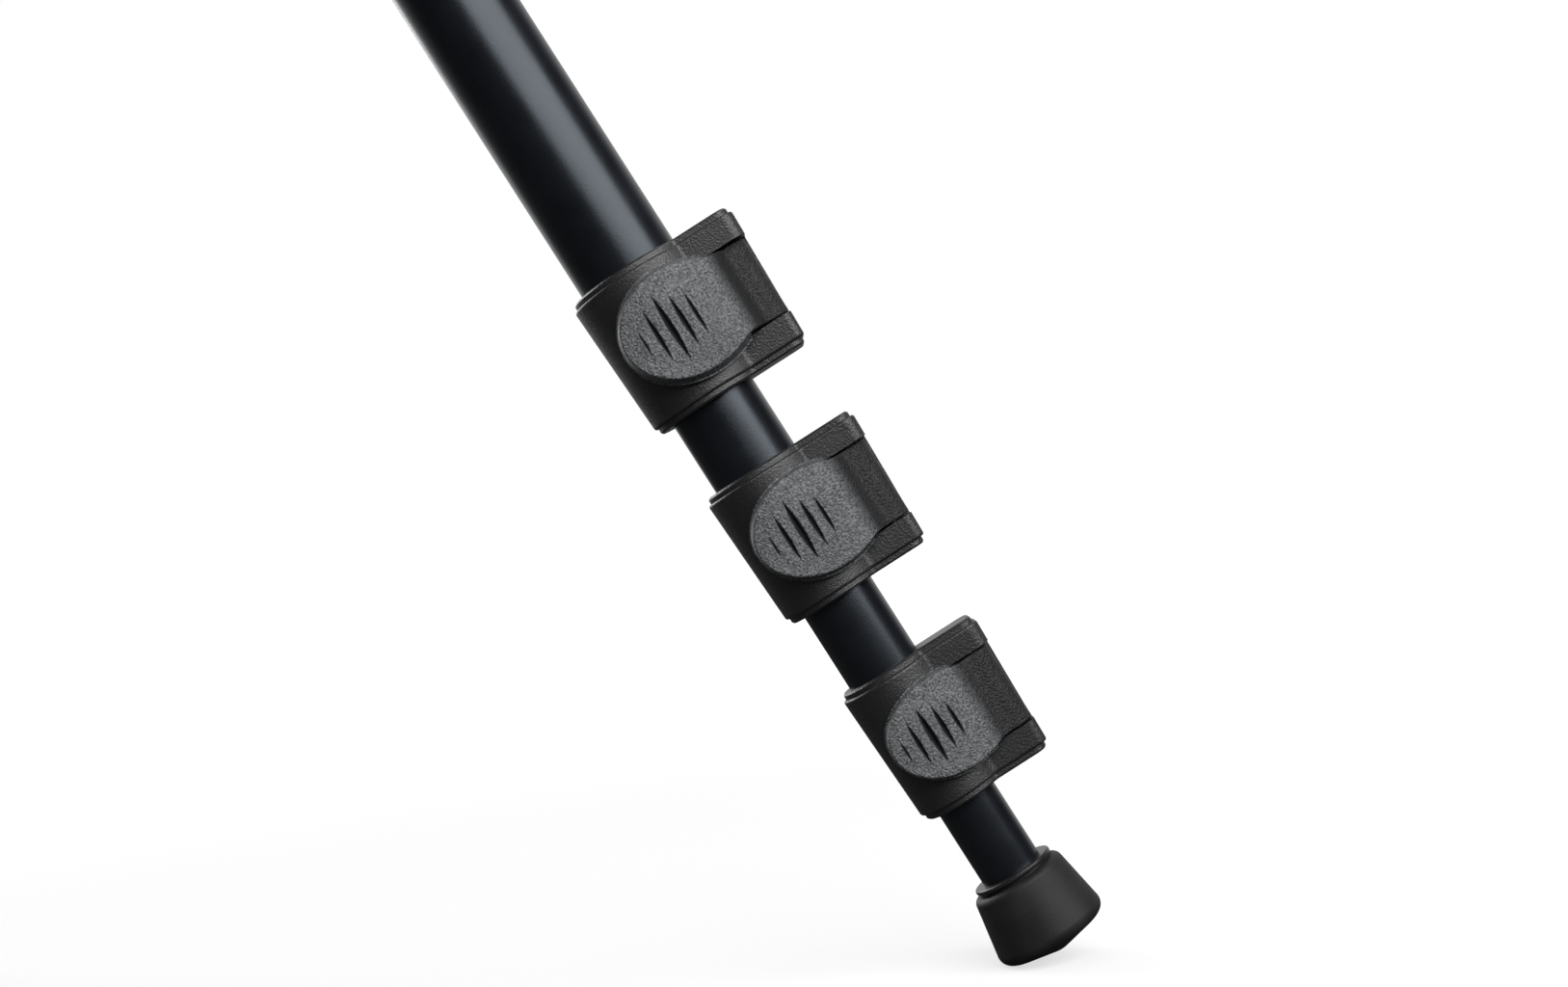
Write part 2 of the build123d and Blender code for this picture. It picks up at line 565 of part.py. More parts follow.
def shoulder():
    """Hub with three pairs of hinge ears and a neck for the column clamp."""
    hub = rod(HUB_RADIUS, HUB_BOTTOM, HUB_TOP)
    hub += rod(NECK_RADIUS, HUB_TOP, NECK_TOP)
    hub = chamfer(hub.edges().group_by(Axis.Z)[-1], NECK_BEVEL)
    outer_half = KNUCKLE_GAP / 2 + EAR_THICKNESS
    inner_half = KNUCKLE_GAP / 2
    for azimuth in LEG_AZIMUTHS:
        turn = Rot(0, 0, azimuth)
        arm = Pos(HINGE_RADIUS, 0, 0) * cross_rod(EAR_RADIUS, outer_half)
        arm += box_between((0, HINGE_RADIUS), (-outer_half, outer_half), (-EAR_RADIUS, EAR_RADIUS))
        sides = arm.faces().filter_by(Axis.Y).sort_by(Axis.Y)
        arm = fillet(sides[0].edges() + sides[-1].edges(), EAR_EDGE)
        reach = EAR_RADIUS + OVERCUT
        gap = box_between((0, HINGE_RADIUS + reach), (-inner_half, inner_half), (-reach, reach))
        gap -= rod(HUB_RADIUS, HUB_BOTTOM, HUB_TOP)
        gap -= rod(NECK_RADIUS, HUB_TOP, NECK_TOP)
        hub += turn * (arm - gap)
    for azimuth in LEG_AZIMUTHS:
        bolt_hole = Pos(HINGE_RADIUS, 0, 0) * cross_rod(BOLT_RADIUS + BOND_GAP, outer_half + OVERCUT)
        hub -= Rot(0, 0, azimuth) * bolt_hole
    hub -= rod(COLUMN_RADIUS + RUNNING_GAP + BUSH_WALL + BOND_GAP, HUB_BOTTOM, NECK_TOP)
    screw = Pos(0, 0, KNOB_LEVEL) * Rot(0, 90, 0) * rod(KNOB_SCREW_RADIUS + RUNNING_GAP, 0, HUB_RADIUS)
    hub -= Rot(0, 0, KNOB_AZIMUTH) * screw
    return Pos(0, 0, HINGE_HEIGHT) * hub


def hinge_bolts():
    """One shoulder bolt with a socket head through each pair of ears."""
    ear_face = KNUCKLE_GAP / 2 + EAR_THICKNESS
    bolts = []
    for azimuth in LEG_AZIMUTHS:
        bolt = cross_rod(BOLT_RADIUS, ear_face)
        for side in (-1, 1):
            head = Pos(0, side * (ear_face + BOLT_HEAD_HEIGHT / 2), 0)
            bolt += head * cross_rod(BOLT_HEAD_RADIUS, BOLT_HEAD_HEIGHT / 2)
        bolt = fillet([bolt.edges().sort_by(Axis.Y)[end] for end in (0, -1)], BOLT_HEAD_EDGE)
        socket = extrude(RegularPolygon(BOLT_SOCKET_RADIUS, 6), BOLT_SOCKET_DEPTH, both=True)
        bolt -= Pos(0, -ear_face - BOLT_HEAD_HEIGHT, 0) * Rot(90, 0, 0) * socket
        place = Pos(0, 0, HINGE_HEIGHT) * Rot(0, 0, azimuth) * Pos(HINGE_RADIUS, 0, 0)
        bolts.append((place * bolt).solid())
    return Compound(children=bolts)


def column_bush():
    """Plastic bush that the column slides in."""
    inner = COLUMN_RADIUS + RUNNING_GAP
    bush = rod(inner + BUSH_WALL, HUB_BOTTOM, NECK_TOP) - rod(inner, HUB_BOTTOM, NECK_TOP)
    return Pos(0, 0, HINGE_HEIGHT) * bush


def column_knob():
    """Lobed knob on the screw that presses the bush against the column."""
    start = COLUMN_RADIUS + RUNNING_GAP + BUSH_WALL + SIDE_GAP
    base = NECK_RADIUS + KNOB_STANDOFF
    knob = rod(KNOB_RADIUS, base, base + KNOB_LENGTH)
    knob = chamfer(knob.edges().group_by(Axis.Z)[-1], KNOB_BEVEL)
    for lobe in range(KNOB_LOBES):
        hollow = rod(KNOB_LOBE_RADIUS, base + KNOB_BASE, base + KNOB_LENGTH)
        hollow = Pos(KNOB_RADIUS + KNOB_LOBE_OUT, 0, 0) * hollow
        knob -= Rot(0, 0, lobe * 360 / KNOB_LOBES) * hollow
    knob += rod(KNOB_SCREW_RADIUS, start, base)
    place = Pos(0, 0, HINGE_HEIGHT + KNOB_LEVEL) * Rot(0, 0, KNOB_AZIMUTH) * Rot(0, 90, 0)
    return place * knob


def centre_column():
    """Column tube, pushed right down."""
    tube = rod(COLUMN_RADIUS, COLUMN_BOTTOM, COLUMN_TOP)
    return Pos(0, 0, HINGE_HEIGHT) * (tube - rod(COLUMN_RADIUS - COLUMN_WALL, COLUMN_BOTTOM, COLUMN_TOP))


def camera_platform():
    """Round platform on top of the column, with grip flutes round its edge."""
    plug_radius = COLUMN_RADIUS - COLUMN_WALL - BOND_GAP
    platform = rod(PLATFORM_RADIUS, COLUMN_TOP, COLUMN_TOP + PLATFORM_THICKNESS)
    platform = chamfer(platform.edges().filter_by(GeomType.CIRCLE), PLATFORM_BEVEL)
    platform += rod(plug_radius, COLUMN_TOP - PLATFORM_PLUG, COLUMN_TOP)
    face = COLUMN_TOP + PLATFORM_THICKNESS
    flute = Pos(PLATFORM_RADIUS + FLUTE_OUT, 0, 0) * rod(FLUTE_RADIUS, COLUMN_TOP, face)
    for index in range(FLUTE_COUNT):
        platform -= Rot(0, 0, index * 360 / FLUTE_COUNT) * flute
    platform -= rod(STUD_SEAT_RADIUS + BOND_GAP, face - STUD_SEAT, face)
    platform -= rod(STUD_RELIEF_RADIUS, face - STUD_RELIEF_DEPTH, face)
    return Pos(0, 0, HINGE_HEIGHT) * platform


def camera_stud():
    """Screw stud for a head or camera, with a thinner shank set in the platform."""
    face = COLUMN_TOP + PLATFORM_THICKNESS
    stud = rod(STUD_RADIUS, face, face + STUD_HEIGHT)
    stud = chamfer(stud.edges().group_by(Axis.Z)[-1], STUD_BEVEL)
    stud += rod(STUD_SEAT_RADIUS, face - STUD_SEAT, face)
    return Pos(0, 0, HINGE_HEIGHT) * stud


def column_end_cap():
    """Cap in the column's lower end with a boss for the weight ring."""
    plug_radius = COLUMN_RADIUS - COLUMN_WALL - BOND_GAP
    cap = rod(COLUMN_RADIUS, COLUMN_BOTTOM - END_CAP_THICKNESS, COLUMN_BOTTOM)
    cap = chamfer(cap.edges().group_by(Axis.Z)[0], END_CAP_BEVEL)
    cap += rod(plug_radius, COLUMN_BOTTOM, COLUMN_BOTTOM + END_CAP_PLUG)
    half = RING_BOSS_WIDTH / 2
    boss_bottom = COLUMN_BOTTOM - END_CAP_THICKNESS - RING_BOSS_HEIGHT
    boss_top = COLUMN_BOTTOM - END_CAP_THICKNESS + OVERCUT
    boss = box_between((-half, half), (-half, half), (boss_bottom, boss_top))
    cap += fillet(boss.edges().filter_by(Axis.Y).group_by(Axis.Z)[0], RING_BOSS_ROUND)
    cap -= Pos(0, 0, RING_LEVEL) * cross_rod(RING_WIRE_RADIUS + RUNNING_GAP, half + OVERCUT)
    return Pos(0, 0, HINGE_HEIGHT) * cap


def weight_ring():
    """Bent wire ring that hangs from the end cap, for a weight or bag."""
    outline = RectangleRounded(2 * RING_HALF_WIDTH, RING_DROP, RING_BEND)
    path = (Plane.YZ * Pos(0, -RING_DROP / 2) * outline).face().outer_wire()
    wire = sweep(Plane(origin=path @ 0, z_dir=path % 0) * Circle(RING_WIRE_RADIUS), path=path)
    return Pos(0, 0, HINGE_HEIGHT + RING_LEVEL) * wire


def leg_pieces():
    """Pieces of one hanging leg by name."""
    pieces = {
        "top_casting": top_casting(),
        "angle_latch": angle_latch(),
        "foot_plug": foot_plug(),
        "rubber_foot": rubber_foot(),
    }
    for section in range(4):
        pieces[f"tube_{section + 1}"] = leg_tube(section)
    for lock in range(3):
        place = Pos(0, 0, -LOCK_MIDDLES[lock])
        pieces[f"lock_{lock + 1}_housing"] = place * lock_housing(lock)
        pieces[f"lock_{lock + 1}_lever"] = place * lock_lever(lock)
        pieces[f"lock_{lock + 1}_pin_and_shoe"] = place * lock_pin_and_shoe(lock)
    return pieces


def tripod_pieces():
    """Every piece of the standing tripod by node name."""
    pieces = {
        "shoulder": shoulder(),
        "hinge_bolts": hinge_bolts(),
        "column_bush": column_bush(),
        "column_knob": column_knob(),
        "centre_column": centre_column(),
        "camera_platform": camera_platform(),
        "camera_stud": camera_stud(),
        "column_end_cap": column_end_cap(),
        "weight_ring": weight_ring(),
    }
    hanging = leg_pieces()
    for number, azimuth in enumerate(LEG_AZIMUTHS, start=1):
        for name, piece in hanging.items():
            pieces[f"leg_{number}_{name}"] = leg_place(azimuth) * piece
    return pieces


os.makedirs("parts", exist_ok=True)
for node, piece in tripod_pieces().items():
    export_step(piece, f"parts/{node}.step")
    print(node, round(piece.volume))
for upper in range(3):
    print(f"section {upper + 2} slides {SLIDE_IN[upper]:.1f} in and {SLIDE_OUT[upper]:.1f} out")
print("latch pulls", LATCH_TRAVEL, "column rises", COLUMN_TRAVEL)
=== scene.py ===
# %% [markdown]
# # A camera tripod, photographed low down on one leg
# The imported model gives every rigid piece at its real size: tubes, flip locks, castings, column.
# This lesson adds what a CAD model lacks: the finishes, the screw thread, the studio and the
# camera. Lengths are in metres where no unit is named, and the origin is on the floor under the
# column.

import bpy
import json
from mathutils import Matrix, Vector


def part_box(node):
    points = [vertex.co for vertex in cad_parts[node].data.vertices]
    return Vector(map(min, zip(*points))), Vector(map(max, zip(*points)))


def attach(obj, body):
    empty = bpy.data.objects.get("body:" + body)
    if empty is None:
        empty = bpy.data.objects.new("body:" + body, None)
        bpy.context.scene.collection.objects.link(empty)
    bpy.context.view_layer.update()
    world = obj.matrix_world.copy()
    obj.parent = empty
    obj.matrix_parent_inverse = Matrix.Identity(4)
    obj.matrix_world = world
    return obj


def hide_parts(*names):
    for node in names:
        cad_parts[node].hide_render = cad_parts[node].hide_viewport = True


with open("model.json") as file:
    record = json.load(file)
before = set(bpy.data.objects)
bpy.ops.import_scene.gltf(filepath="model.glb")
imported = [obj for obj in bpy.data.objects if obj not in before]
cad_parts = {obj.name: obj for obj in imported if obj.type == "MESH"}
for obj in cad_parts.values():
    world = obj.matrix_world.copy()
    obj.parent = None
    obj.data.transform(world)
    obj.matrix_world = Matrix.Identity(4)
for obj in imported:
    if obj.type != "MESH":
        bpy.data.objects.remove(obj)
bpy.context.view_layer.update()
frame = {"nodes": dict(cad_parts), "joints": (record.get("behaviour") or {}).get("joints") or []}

# %% [markdown]
# ## The camera
# The photo looks at leg 1 from straight beside it, a little above the floor. The camera is
# rolled, so the leg leans more in the picture than it really does. Three angles could say this,
# but a matrix made of the camera's own axes is easier to check: picture right, picture up, and
# the way back to the photographer. The Standard view transform keeps a white backdrop white.

# %% Place the camera
import bpy
from math import cos, pi, radians, sin
from mathutils import Matrix, Vector

CAMERA_ROLL = radians(7.6)
CAMERA_PLACE = Vector((0.2337, -0.620, 0.1287))
LENS_MM = 54.9
SENSOR_MM = 36.0
NEAREST_SEEN = 0.01

picture_right = Vector((cos(CAMERA_ROLL), 0.0, -sin(CAMERA_ROLL)))
picture_up = Vector((sin(CAMERA_ROLL), 0.0, cos(CAMERA_ROLL)))
towards_camera = Vector((0.0, -1.0, 0.0))

camera_data = bpy.data.cameras.new("camera")
camera_data.lens = LENS_MM
camera_data.sensor_width = SENSOR_MM
camera_data.clip_start = NEAREST_SEEN
camera = bpy.data.objects.new("camera", camera_data)
axes = Matrix((picture_right, picture_up, towards_camera)).transposed()
camera.matrix_world = Matrix.Translation(CAMERA_PLACE) @ axes.to_4x4()
scene = bpy.context.scene
scene.collection.objects.link(camera)
scene.camera = camera
scene.view_settings.view_transform = "Standard"
print("camera at", [round(x, 3) for x in CAMERA_PLACE], "lens", LENS_MM, "mm")

# %% [markdown]
# ## Helpers for node trees
# The room, the floor and every finish are small networks of nodes. They could be drawn by hand
# in the shader editor. Written out, each node takes several lines, so these helpers do the
# repeating: one adds a node, one fills in its inputs by name, and one switches between two
# values.

# %% Helpers for node trees
# A Mix node has inputs for each kind of value, and they are told apart by number.
MIX_SWITCH, MIX_OFF, MIX_ON = 0, 2, 3


def add_node(tree, kind, **settings):
    """A new node of that kind, with its settings, by attribute name."""
    node = tree.nodes.new(kind)
    for name, value in settings.items():
        setattr(node, name, value)
    return node


def set_inputs(node, **values):
    """Sets input sockets by name; an underscore stands for a space."""
    for name, value in values.items():
        node.inputs[name.replace("_", " ")].default_value = value


def choose(tree, switch, if_off, if_on):
    """A value that is if_on where the switch is 1, and if_off where it is 0."""
    pick = add_node(tree, "ShaderNodeMix", data_type="FLOAT")
    for socket, value in ((MIX_SWITCH, switch), (MIX_OFF, if_off), (MIX_ON, if_on)):
        if isinstance(value, (int, float)):
            pick.inputs[socket].default_value = value
        else:
            tree.links.new(value, pick.inputs[socket])
    return pick.outputs[0]


print("node helpers ready")

# %% [markdown]
# ## Light that depends on the ray
# A renderer follows four kinds of ray: those that the camera sends out, those that leave a
# mirror, those that pass through glass, and those that only gather light. A Light Path node
# tells them apart. Room and floor both depend on it, so the choice is one helper instead of two
# long chains of nodes. Two more helpers give the Y part of a place or direction, which grows
# away from the photographer, and a smooth change from one value to another.

# %% Helpers for the studio


def choose_by_ray(tree, rays, seen, mirrored, through_glass, other):
    """One value for each kind of ray."""
    value = choose(tree, rays.outputs["Is Glossy Ray"], other, mirrored)
    value = choose(tree, rays.outputs["Is Transmission Ray"], value, through_glass)
    return choose(tree, rays.outputs["Is Camera Ray"], value, seen)


def away_from_camera(tree, vector):
    """The Y part of a vector, which grows away from the photographer."""
    split = add_node(tree, "ShaderNodeSeparateXYZ")
    tree.links.new(vector, split.inputs[0])
    return split.outputs["Y"]


def smooth_change(tree, source, start, stop, at_start, at_stop):
    """A value that goes smoothly from one level to the other while the source passes by."""
    change = add_node(tree, "ShaderNodeMapRange", interpolation_type="SMOOTHSTEP")
    set_inputs(change, From_Min=start, From_Max=stop, To_Min=at_start, To_Max=at_stop)
    tree.links.new(source, change.inputs["Value"])
    return change.outputs[0]


print("studio helpers ready")

# %% [markdown]
# ## The room
# A black object on white is lit by what it mirrors. One white room would flatten it, because
# every face would mirror white. So the camera sees a white backdrop, and a mirror ray that goes
# on past the tripod sees it almost as white, which puts a thin bright rim on the outlines. A
# mirror ray that comes back towards the photographer sees a dark studio. The rays that gather
# light get a weak fill, a little stronger from the photographer's side.

# %% Make the world
world = bpy.data.worlds.new("studio")
world.use_nodes = True
scene.world = world
room = world.node_tree
room.nodes.clear()
room_rays = add_node(room, "ShaderNodeLightPath")
ray_direction = add_node(room, "ShaderNodeTexCoord")
ray_away = away_from_camera(room, ray_direction.outputs["Generated"])
print("world:", world.name)

# %% Light the room
WHITE = 1.0
DARK_STUDIO = 0.010
BACKDROP_MIRRORED = 0.85
FILL_FRONT, FILL_BEHIND = 0.45, 0.28
# Y parts of a ray's direction, from -1 towards the photographer to 1 straight away.
BACKDROP_STARTS, BACKDROP_FULL = 0.35, 0.95
FILL_FALLS, FILL_LOW = -0.9, 0.3

mirrored_room = smooth_change(
    room, ray_away, BACKDROP_STARTS, BACKDROP_FULL, DARK_STUDIO, BACKDROP_MIRRORED)
fill = smooth_change(room, ray_away, FILL_FALLS, FILL_LOW, FILL_FRONT, FILL_BEHIND)
background = add_node(room, "ShaderNodeBackground")
background.inputs["Color"].default_value = (1.0, 1.0, 1.0, 1.0)
brightness = choose_by_ray(room, room_rays, WHITE, mirrored_room, WHITE, fill)
room.links.new(brightness, background.inputs["Strength"])
room_output = add_node(room, "ShaderNodeOutputWorld")
room.links.new(background.outputs[0], room_output.inputs["Surface"])
print("world nodes:", len(room.nodes))

# %% [markdown]
# ## The floor
# A large pale sheet, like the paper roll of a product studio. A plain white material would come
# out grey in this weak light and would throw light up at the black tubes. So the sheet is matt
# with a glow added, and both depend on the ray. The camera sees it glow, less near the tripod,
# where the soft shadow has to show, and up to white far off. In a mirror it is dark, and bright
# only far behind the tripod. For rays that gather light it is almost black and has no glow.

# %% Lay the floor
FLOOR_HALF = 40.0

sheet_corners = [
    (x * FLOOR_HALF, y * FLOOR_HALF, 0.0) for x, y in ((-1, -1), (1, -1), (1, 1), (-1, 1))]
floor_mesh = bpy.data.meshes.new("floor")
floor_mesh.from_pydata(sheet_corners, [], [(0, 1, 2, 3)])
floor = bpy.data.objects.new("floor", floor_mesh)
scene.collection.objects.link(floor)
print("floor", 2 * FLOOR_HALF, "m square")

# %% A material for the floor
sheet = bpy.data.materials.new("floor")
sheet.use_nodes = True
floor_mesh.materials.append(sheet)
paper = sheet.node_tree
paper.nodes.clear()
paper_rays = add_node(paper, "ShaderNodeLightPath")
spot = add_node(paper, "ShaderNodeTexCoord")
print("floor material:", sheet.name)

# %% The floor's glow
GLOW_NEAR, GLOW_FAR = 0.68, 0.99
GLOW_GROWS, GLOW_FULL = 0.4, 1.5  # distances from the column
MIRROR_DARK_TO, MIRROR_FULL = 0.4, 1.6  # distances behind the column

from_column = add_node(paper, "ShaderNodeVectorMath", operation="LENGTH")
paper.links.new(spot.outputs["Object"], from_column.inputs[0])
seen_glow = smooth_change(
    paper, from_column.outputs["Value"], GLOW_GROWS, GLOW_FULL, GLOW_NEAR, GLOW_FAR)
spot_away = away_from_camera(paper, spot.outputs["Object"])
mirrored_glow = smooth_change(
    paper, spot_away, MIRROR_DARK_TO, MIRROR_FULL, DARK_STUDIO, BACKDROP_MIRRORED)
glow = add_node(paper, "ShaderNodeEmission")
glow_strength = choose_by_ray(paper, paper_rays, seen_glow, mirrored_glow, GLOW_FAR, 0.0)
paper.links.new(glow_strength, glow.inputs["Strength"])
print("seen glow from", GLOW_NEAR, "at", GLOW_GROWS, "m to", GLOW_FAR, "at", GLOW_FULL, "m")

# %% The floor's matt part
FLOOR_SEEN, FLOOR_BOUNCE = 0.30, 0.05

matt = add_node(paper, "ShaderNodeBsdfDiffuse")
shade = choose(paper, paper_rays.outputs["Is Camera Ray"], FLOOR_BOUNCE, FLOOR_SEEN)
paper.links.new(shade, matt.inputs["Color"])
both = add_node(paper, "ShaderNodeAddShader")
paper.links.new(glow.outputs[0], both.inputs[0])
paper.links.new(matt.outputs[0], both.inputs[1])
floor_output = add_node(paper, "ShaderNodeOutputMaterial")
paper.links.new(both.outputs[0], floor_output.inputs["Surface"])
print("floor nodes:", len(paper.nodes))

# %% [markdown]
# ## The lamps
# A smooth black tube shows the shape of whatever lights it, so the lamps are softboxes. Small
# lamps would leave hard thin lines. The key stands beside the camera, to the right and towards
# the top of the leg, and its mirror image is the long streak on every tube. A weaker one overhead
# lights the top faces, and one behind on the left gives the far side some shape. Each has a
# place, a point to aim at, a width, a height and a radiance, which is its brightness per area.

# %% A helper for softboxes


def softbox(name, place, aim, width, height, radiance):
    """A rectangular lamp at that place, turned to its aim."""
    lamp = bpy.data.lights.new(name, "AREA")
    lamp.shape = "RECTANGLE"
    lamp.size, lamp.size_y = width, height
    lamp.energy = radiance * pi * width * height
    box = bpy.data.objects.new(name, lamp)
    scene.collection.objects.link(box)
    box.location = place
    box.rotation_euler = (aim - box.location).to_track_quat("-Z", "Y").to_euler()
    print(name, "at", [round(x, 2) for x in box.location], "power", round(lamp.energy, 1), "W")


print("softbox helper ready")

# %% Hang the lamps
LEG_MIDDLE = Vector((0.19, 0.0, 0.18))
TRIPOD_MIDDLE = Vector((0.0, 0.0, 0.3))
OVERHEAD = Vector((0.0, 0.4, 1.3))  # from the middle of the leg
BACK_PLACE = Vector((-1.1, 1.3, 0.9))
LEG_LEAN = radians(32.6)  # in the picture
KEY_ANGLE = radians(44)  # from the camera's side round to the right
KEY_DISTANCE = 1.15
KEY_UP_LEG = 0.36

across_leg = cos(LEG_LEAN) * picture_right + sin(LEG_LEAN) * picture_up
up_leg = -sin(LEG_LEAN) * picture_right + cos(LEG_LEAN) * picture_up
key_way = cos(KEY_ANGLE) * towards_camera + sin(KEY_ANGLE) * across_leg
key_place = LEG_MIDDLE + KEY_DISTANCE * key_way + KEY_UP_LEG * up_leg
softbox("key", key_place, LEG_MIDDLE, width=1.5, height=0.8, radiance=5.2)
softbox("overhead", LEG_MIDDLE + OVERHEAD, LEG_MIDDLE, width=0.8, height=0.8, radiance=1.2)
softbox("back", BACK_PLACE, TRIPOD_MIDDLE, width=1.3, height=1.3, radiance=4.0)

# %% [markdown]
# ## Finishes
# No real surface has one flat colour. Image textures could show that, but they need unwrapped
# faces. Here every finish is a Principled shader with noise round it: a slow mottle in colour
# and a slow change in roughness. The noise is read in object coordinates, which are metres, so
# a size in metres says how large its blotches are.

# %% Noise by its size
MM = 0.001


def add_noise(tree, coordinates, size, detail, roughness=0.5):
    """Noise with blotches of that size, in metres."""
    noise = add_node(tree, "ShaderNodeTexNoise")
    set_inputs(noise, Scale=1 / size, Detail=detail, Roughness=roughness)
    tree.links.new(coordinates, noise.inputs["Vector"])
    return noise.outputs["Fac"]


print("sizes in steps of", MM, "m")

# %% A finish whose colour drifts
DRIFT_SIZE = 1 / 90
DRIFT_DETAIL = 3.0
# The part of the noise's range in which the colour changes.
RAMP_START, RAMP_LENGTH = 0.35, 0.3


def finish(name, colour, roughness, metallic=0.0, specular=0.5, mottle=0.15, rough_change=0.04):
    """A material whose colour and roughness drift slowly over the surface."""
    material = bpy.data.materials.new(name)
    material.use_nodes = True
    tree = material.node_tree
    shader = tree.nodes["Principled BSDF"]
    set_inputs(shader, Metallic=metallic, Specular_IOR_Level=specular)
    coordinates = add_node(tree, "ShaderNodeTexCoord").outputs["Object"]
    drift = add_noise(tree, coordinates, DRIFT_SIZE, DRIFT_DETAIL)
    ramp = add_node(tree, "ShaderNodeValToRGB")
    for stop, share in ((0, 1 - mottle), (1, 1 + mottle)):
        ramp.color_ramp.elements[stop].color = (*[share * c for c in colour], 1.0)
        ramp.color_ramp.elements[stop].position = RAMP_START + RAMP_LENGTH * stop
    tree.links.new(drift, ramp.inputs["Fac"])
    tree.links.new(ramp.outputs["Color"], shader.inputs["Base Color"])
    rub = add_node(tree, "ShaderNodeMapRange")
    set_inputs(rub, To_Min=roughness - rough_change, To_Max=roughness + rough_change)
    tree.links.new(drift, rub.inputs["Value"])
    tree.links.new(rub.outputs[0], shader.inputs["Roughness"])
    return material


print("blotches of", round(DRIFT_SIZE / MM), "mm")

# %% [markdown]
# ## Grain
# Moulded, cast and anodised skins are all a little rough, and the fine grit scatters the
# highlight. Real geometry of that size would take millions of faces, so a bump does it: the
# shading changes and the shape doesn't. A second bump goes on top of the first.

# %% Bumps and grain
GRAIN_DETAIL = 1.0
GRAIN_ROUGHNESS = 0.6


def parts_of(material):
    """The node tree of a finish, its shader, and its coordinates in metres."""
    nodes = material.node_tree.nodes
    coordinates = next(node for node in nodes if node.bl_idname == "ShaderNodeTexCoord")
    return material.node_tree, nodes["Principled BSDF"], coordinates.outputs["Object"]


def add_bump(material, height, depth, strength):
    """A bump of that depth, in metres, over the bumps that are there already."""
    tree, shader, _ = parts_of(material)
    relief = add_node(tree, "ShaderNodeBump")
    set_inputs(relief, Strength=strength, Distance=depth)
    tree.links.new(height, relief.inputs["Height"])
    if shader.inputs["Normal"].is_linked:
        tree.links.new(shader.inputs["Normal"].links[0].from_socket, relief.inputs["Normal"])
    tree.links.new(relief.outputs["Normal"], shader.inputs["Normal"])


def add_grain(material, size, depth, strength=1.0):
    """Fine pits and bumps of that size and depth, in metres."""
    tree, _, coordinates = parts_of(material)
    grain = add_noise(tree, coordinates, size, GRAIN_DETAIL, GRAIN_ROUGHNESS)
    add_bump(material, grain, depth, strength)
    return material


finishes = {}
print("grain helpers ready")

# %% [markdown]
# ## Anodised tube
# The leg tubes and the centre column are drawn aluminium with a satin black anodised skin. The
# dye is almost pure black, so nearly all that shows is the reflection of the softbox. A metallic
# shader could be used, but a black one with a faint blue specular tint gives the cold tone of
# the photo more directly. The grain is only hinted at.

# %% Anodised tube
TUBE_TINT = (0.80, 0.90, 1.0, 1.0)
TUBE_ROUGHNESS = 0.30

tube_black = finish("tube_black", colour=(0.006, 0.0068, 0.009), roughness=TUBE_ROUGHNESS)
set_inputs(tube_black.node_tree.nodes["Principled BSDF"], Specular_Tint=TUBE_TINT)
finishes["tube_black"] = add_grain(tube_black, size=0.5 * MM, depth=0.03 * MM, strength=0.6)
print("tube roughness about", TUBE_ROUGHNESS)

# %% [markdown]
# ## Moulded lock housings
# Glass-filled nylon from a spark-eroded mould: black, a little greyer than the tubes, and with
# a fine grit that scatters the highlight. A higher roughness alone would only blur it. A bump of
# half-millimetre noise also breaks up its edge, and a stronger specular share makes it glisten.

# %% Moulded lock housings
housing_plastic = finish(
    "housing_plastic", colour=(0.013, 0.0134, 0.0142), roughness=0.46, specular=0.85)
finishes["housing_plastic"] = add_grain(housing_plastic, size=0.5 * MM, depth=0.16 * MM)
print("housing nodes:", len(housing_plastic.node_tree.nodes))

# %% [markdown]
# ## Finger pads
# The levers come from the same nylon, but their pads have a coarser texture that catches far
# more light, so they look grey beside the housings. Their grey base colour is painted sheen for
# that light. Colour flecks and bump share the scale of the grain. Grooves and neck get a near-black
# colour, which is painted shade, and a roughness of their own. They could be slots with materials
# of their own, but then each border would follow the edges of faces. Instead the mesh carries two
# marks, stored on its points when it is built, and the finish changes where they are.

# %% Flecks
# The part of the noise's range that the flecks use.
FLECK_LOW, FLECK_HIGH = 0.3, 0.7


def add_flecks(material, size, share):
    """Lighter and darker flecks of that size, in metres, in the base colour."""
    tree, shader, coordinates = parts_of(material)
    flecks = add_noise(tree, coordinates, size, detail=0.0)
    amount = add_node(tree, "ShaderNodeMapRange")
    set_inputs(amount, From_Min=FLECK_LOW, From_Max=FLECK_HIGH, To_Min=1 - share, To_Max=1 + share)
    tree.links.new(flecks, amount.inputs["Value"])
    product = add_node(tree, "ShaderNodeVectorMath", operation="SCALE")
    tree.links.new(shader.inputs["Base Color"].links[0].from_socket, product.inputs[0])
    tree.links.new(amount.outputs[0], product.inputs["Scale"])
    tree.links.new(product.outputs[0], shader.inputs["Base Color"])


print("fleck helper ready")

# %% Marks
# The Mix node's numbers for colours.
MIX_COLOUR_OFF, MIX_COLOUR_ON, MIX_COLOUR_OUT = 6, 7, 2


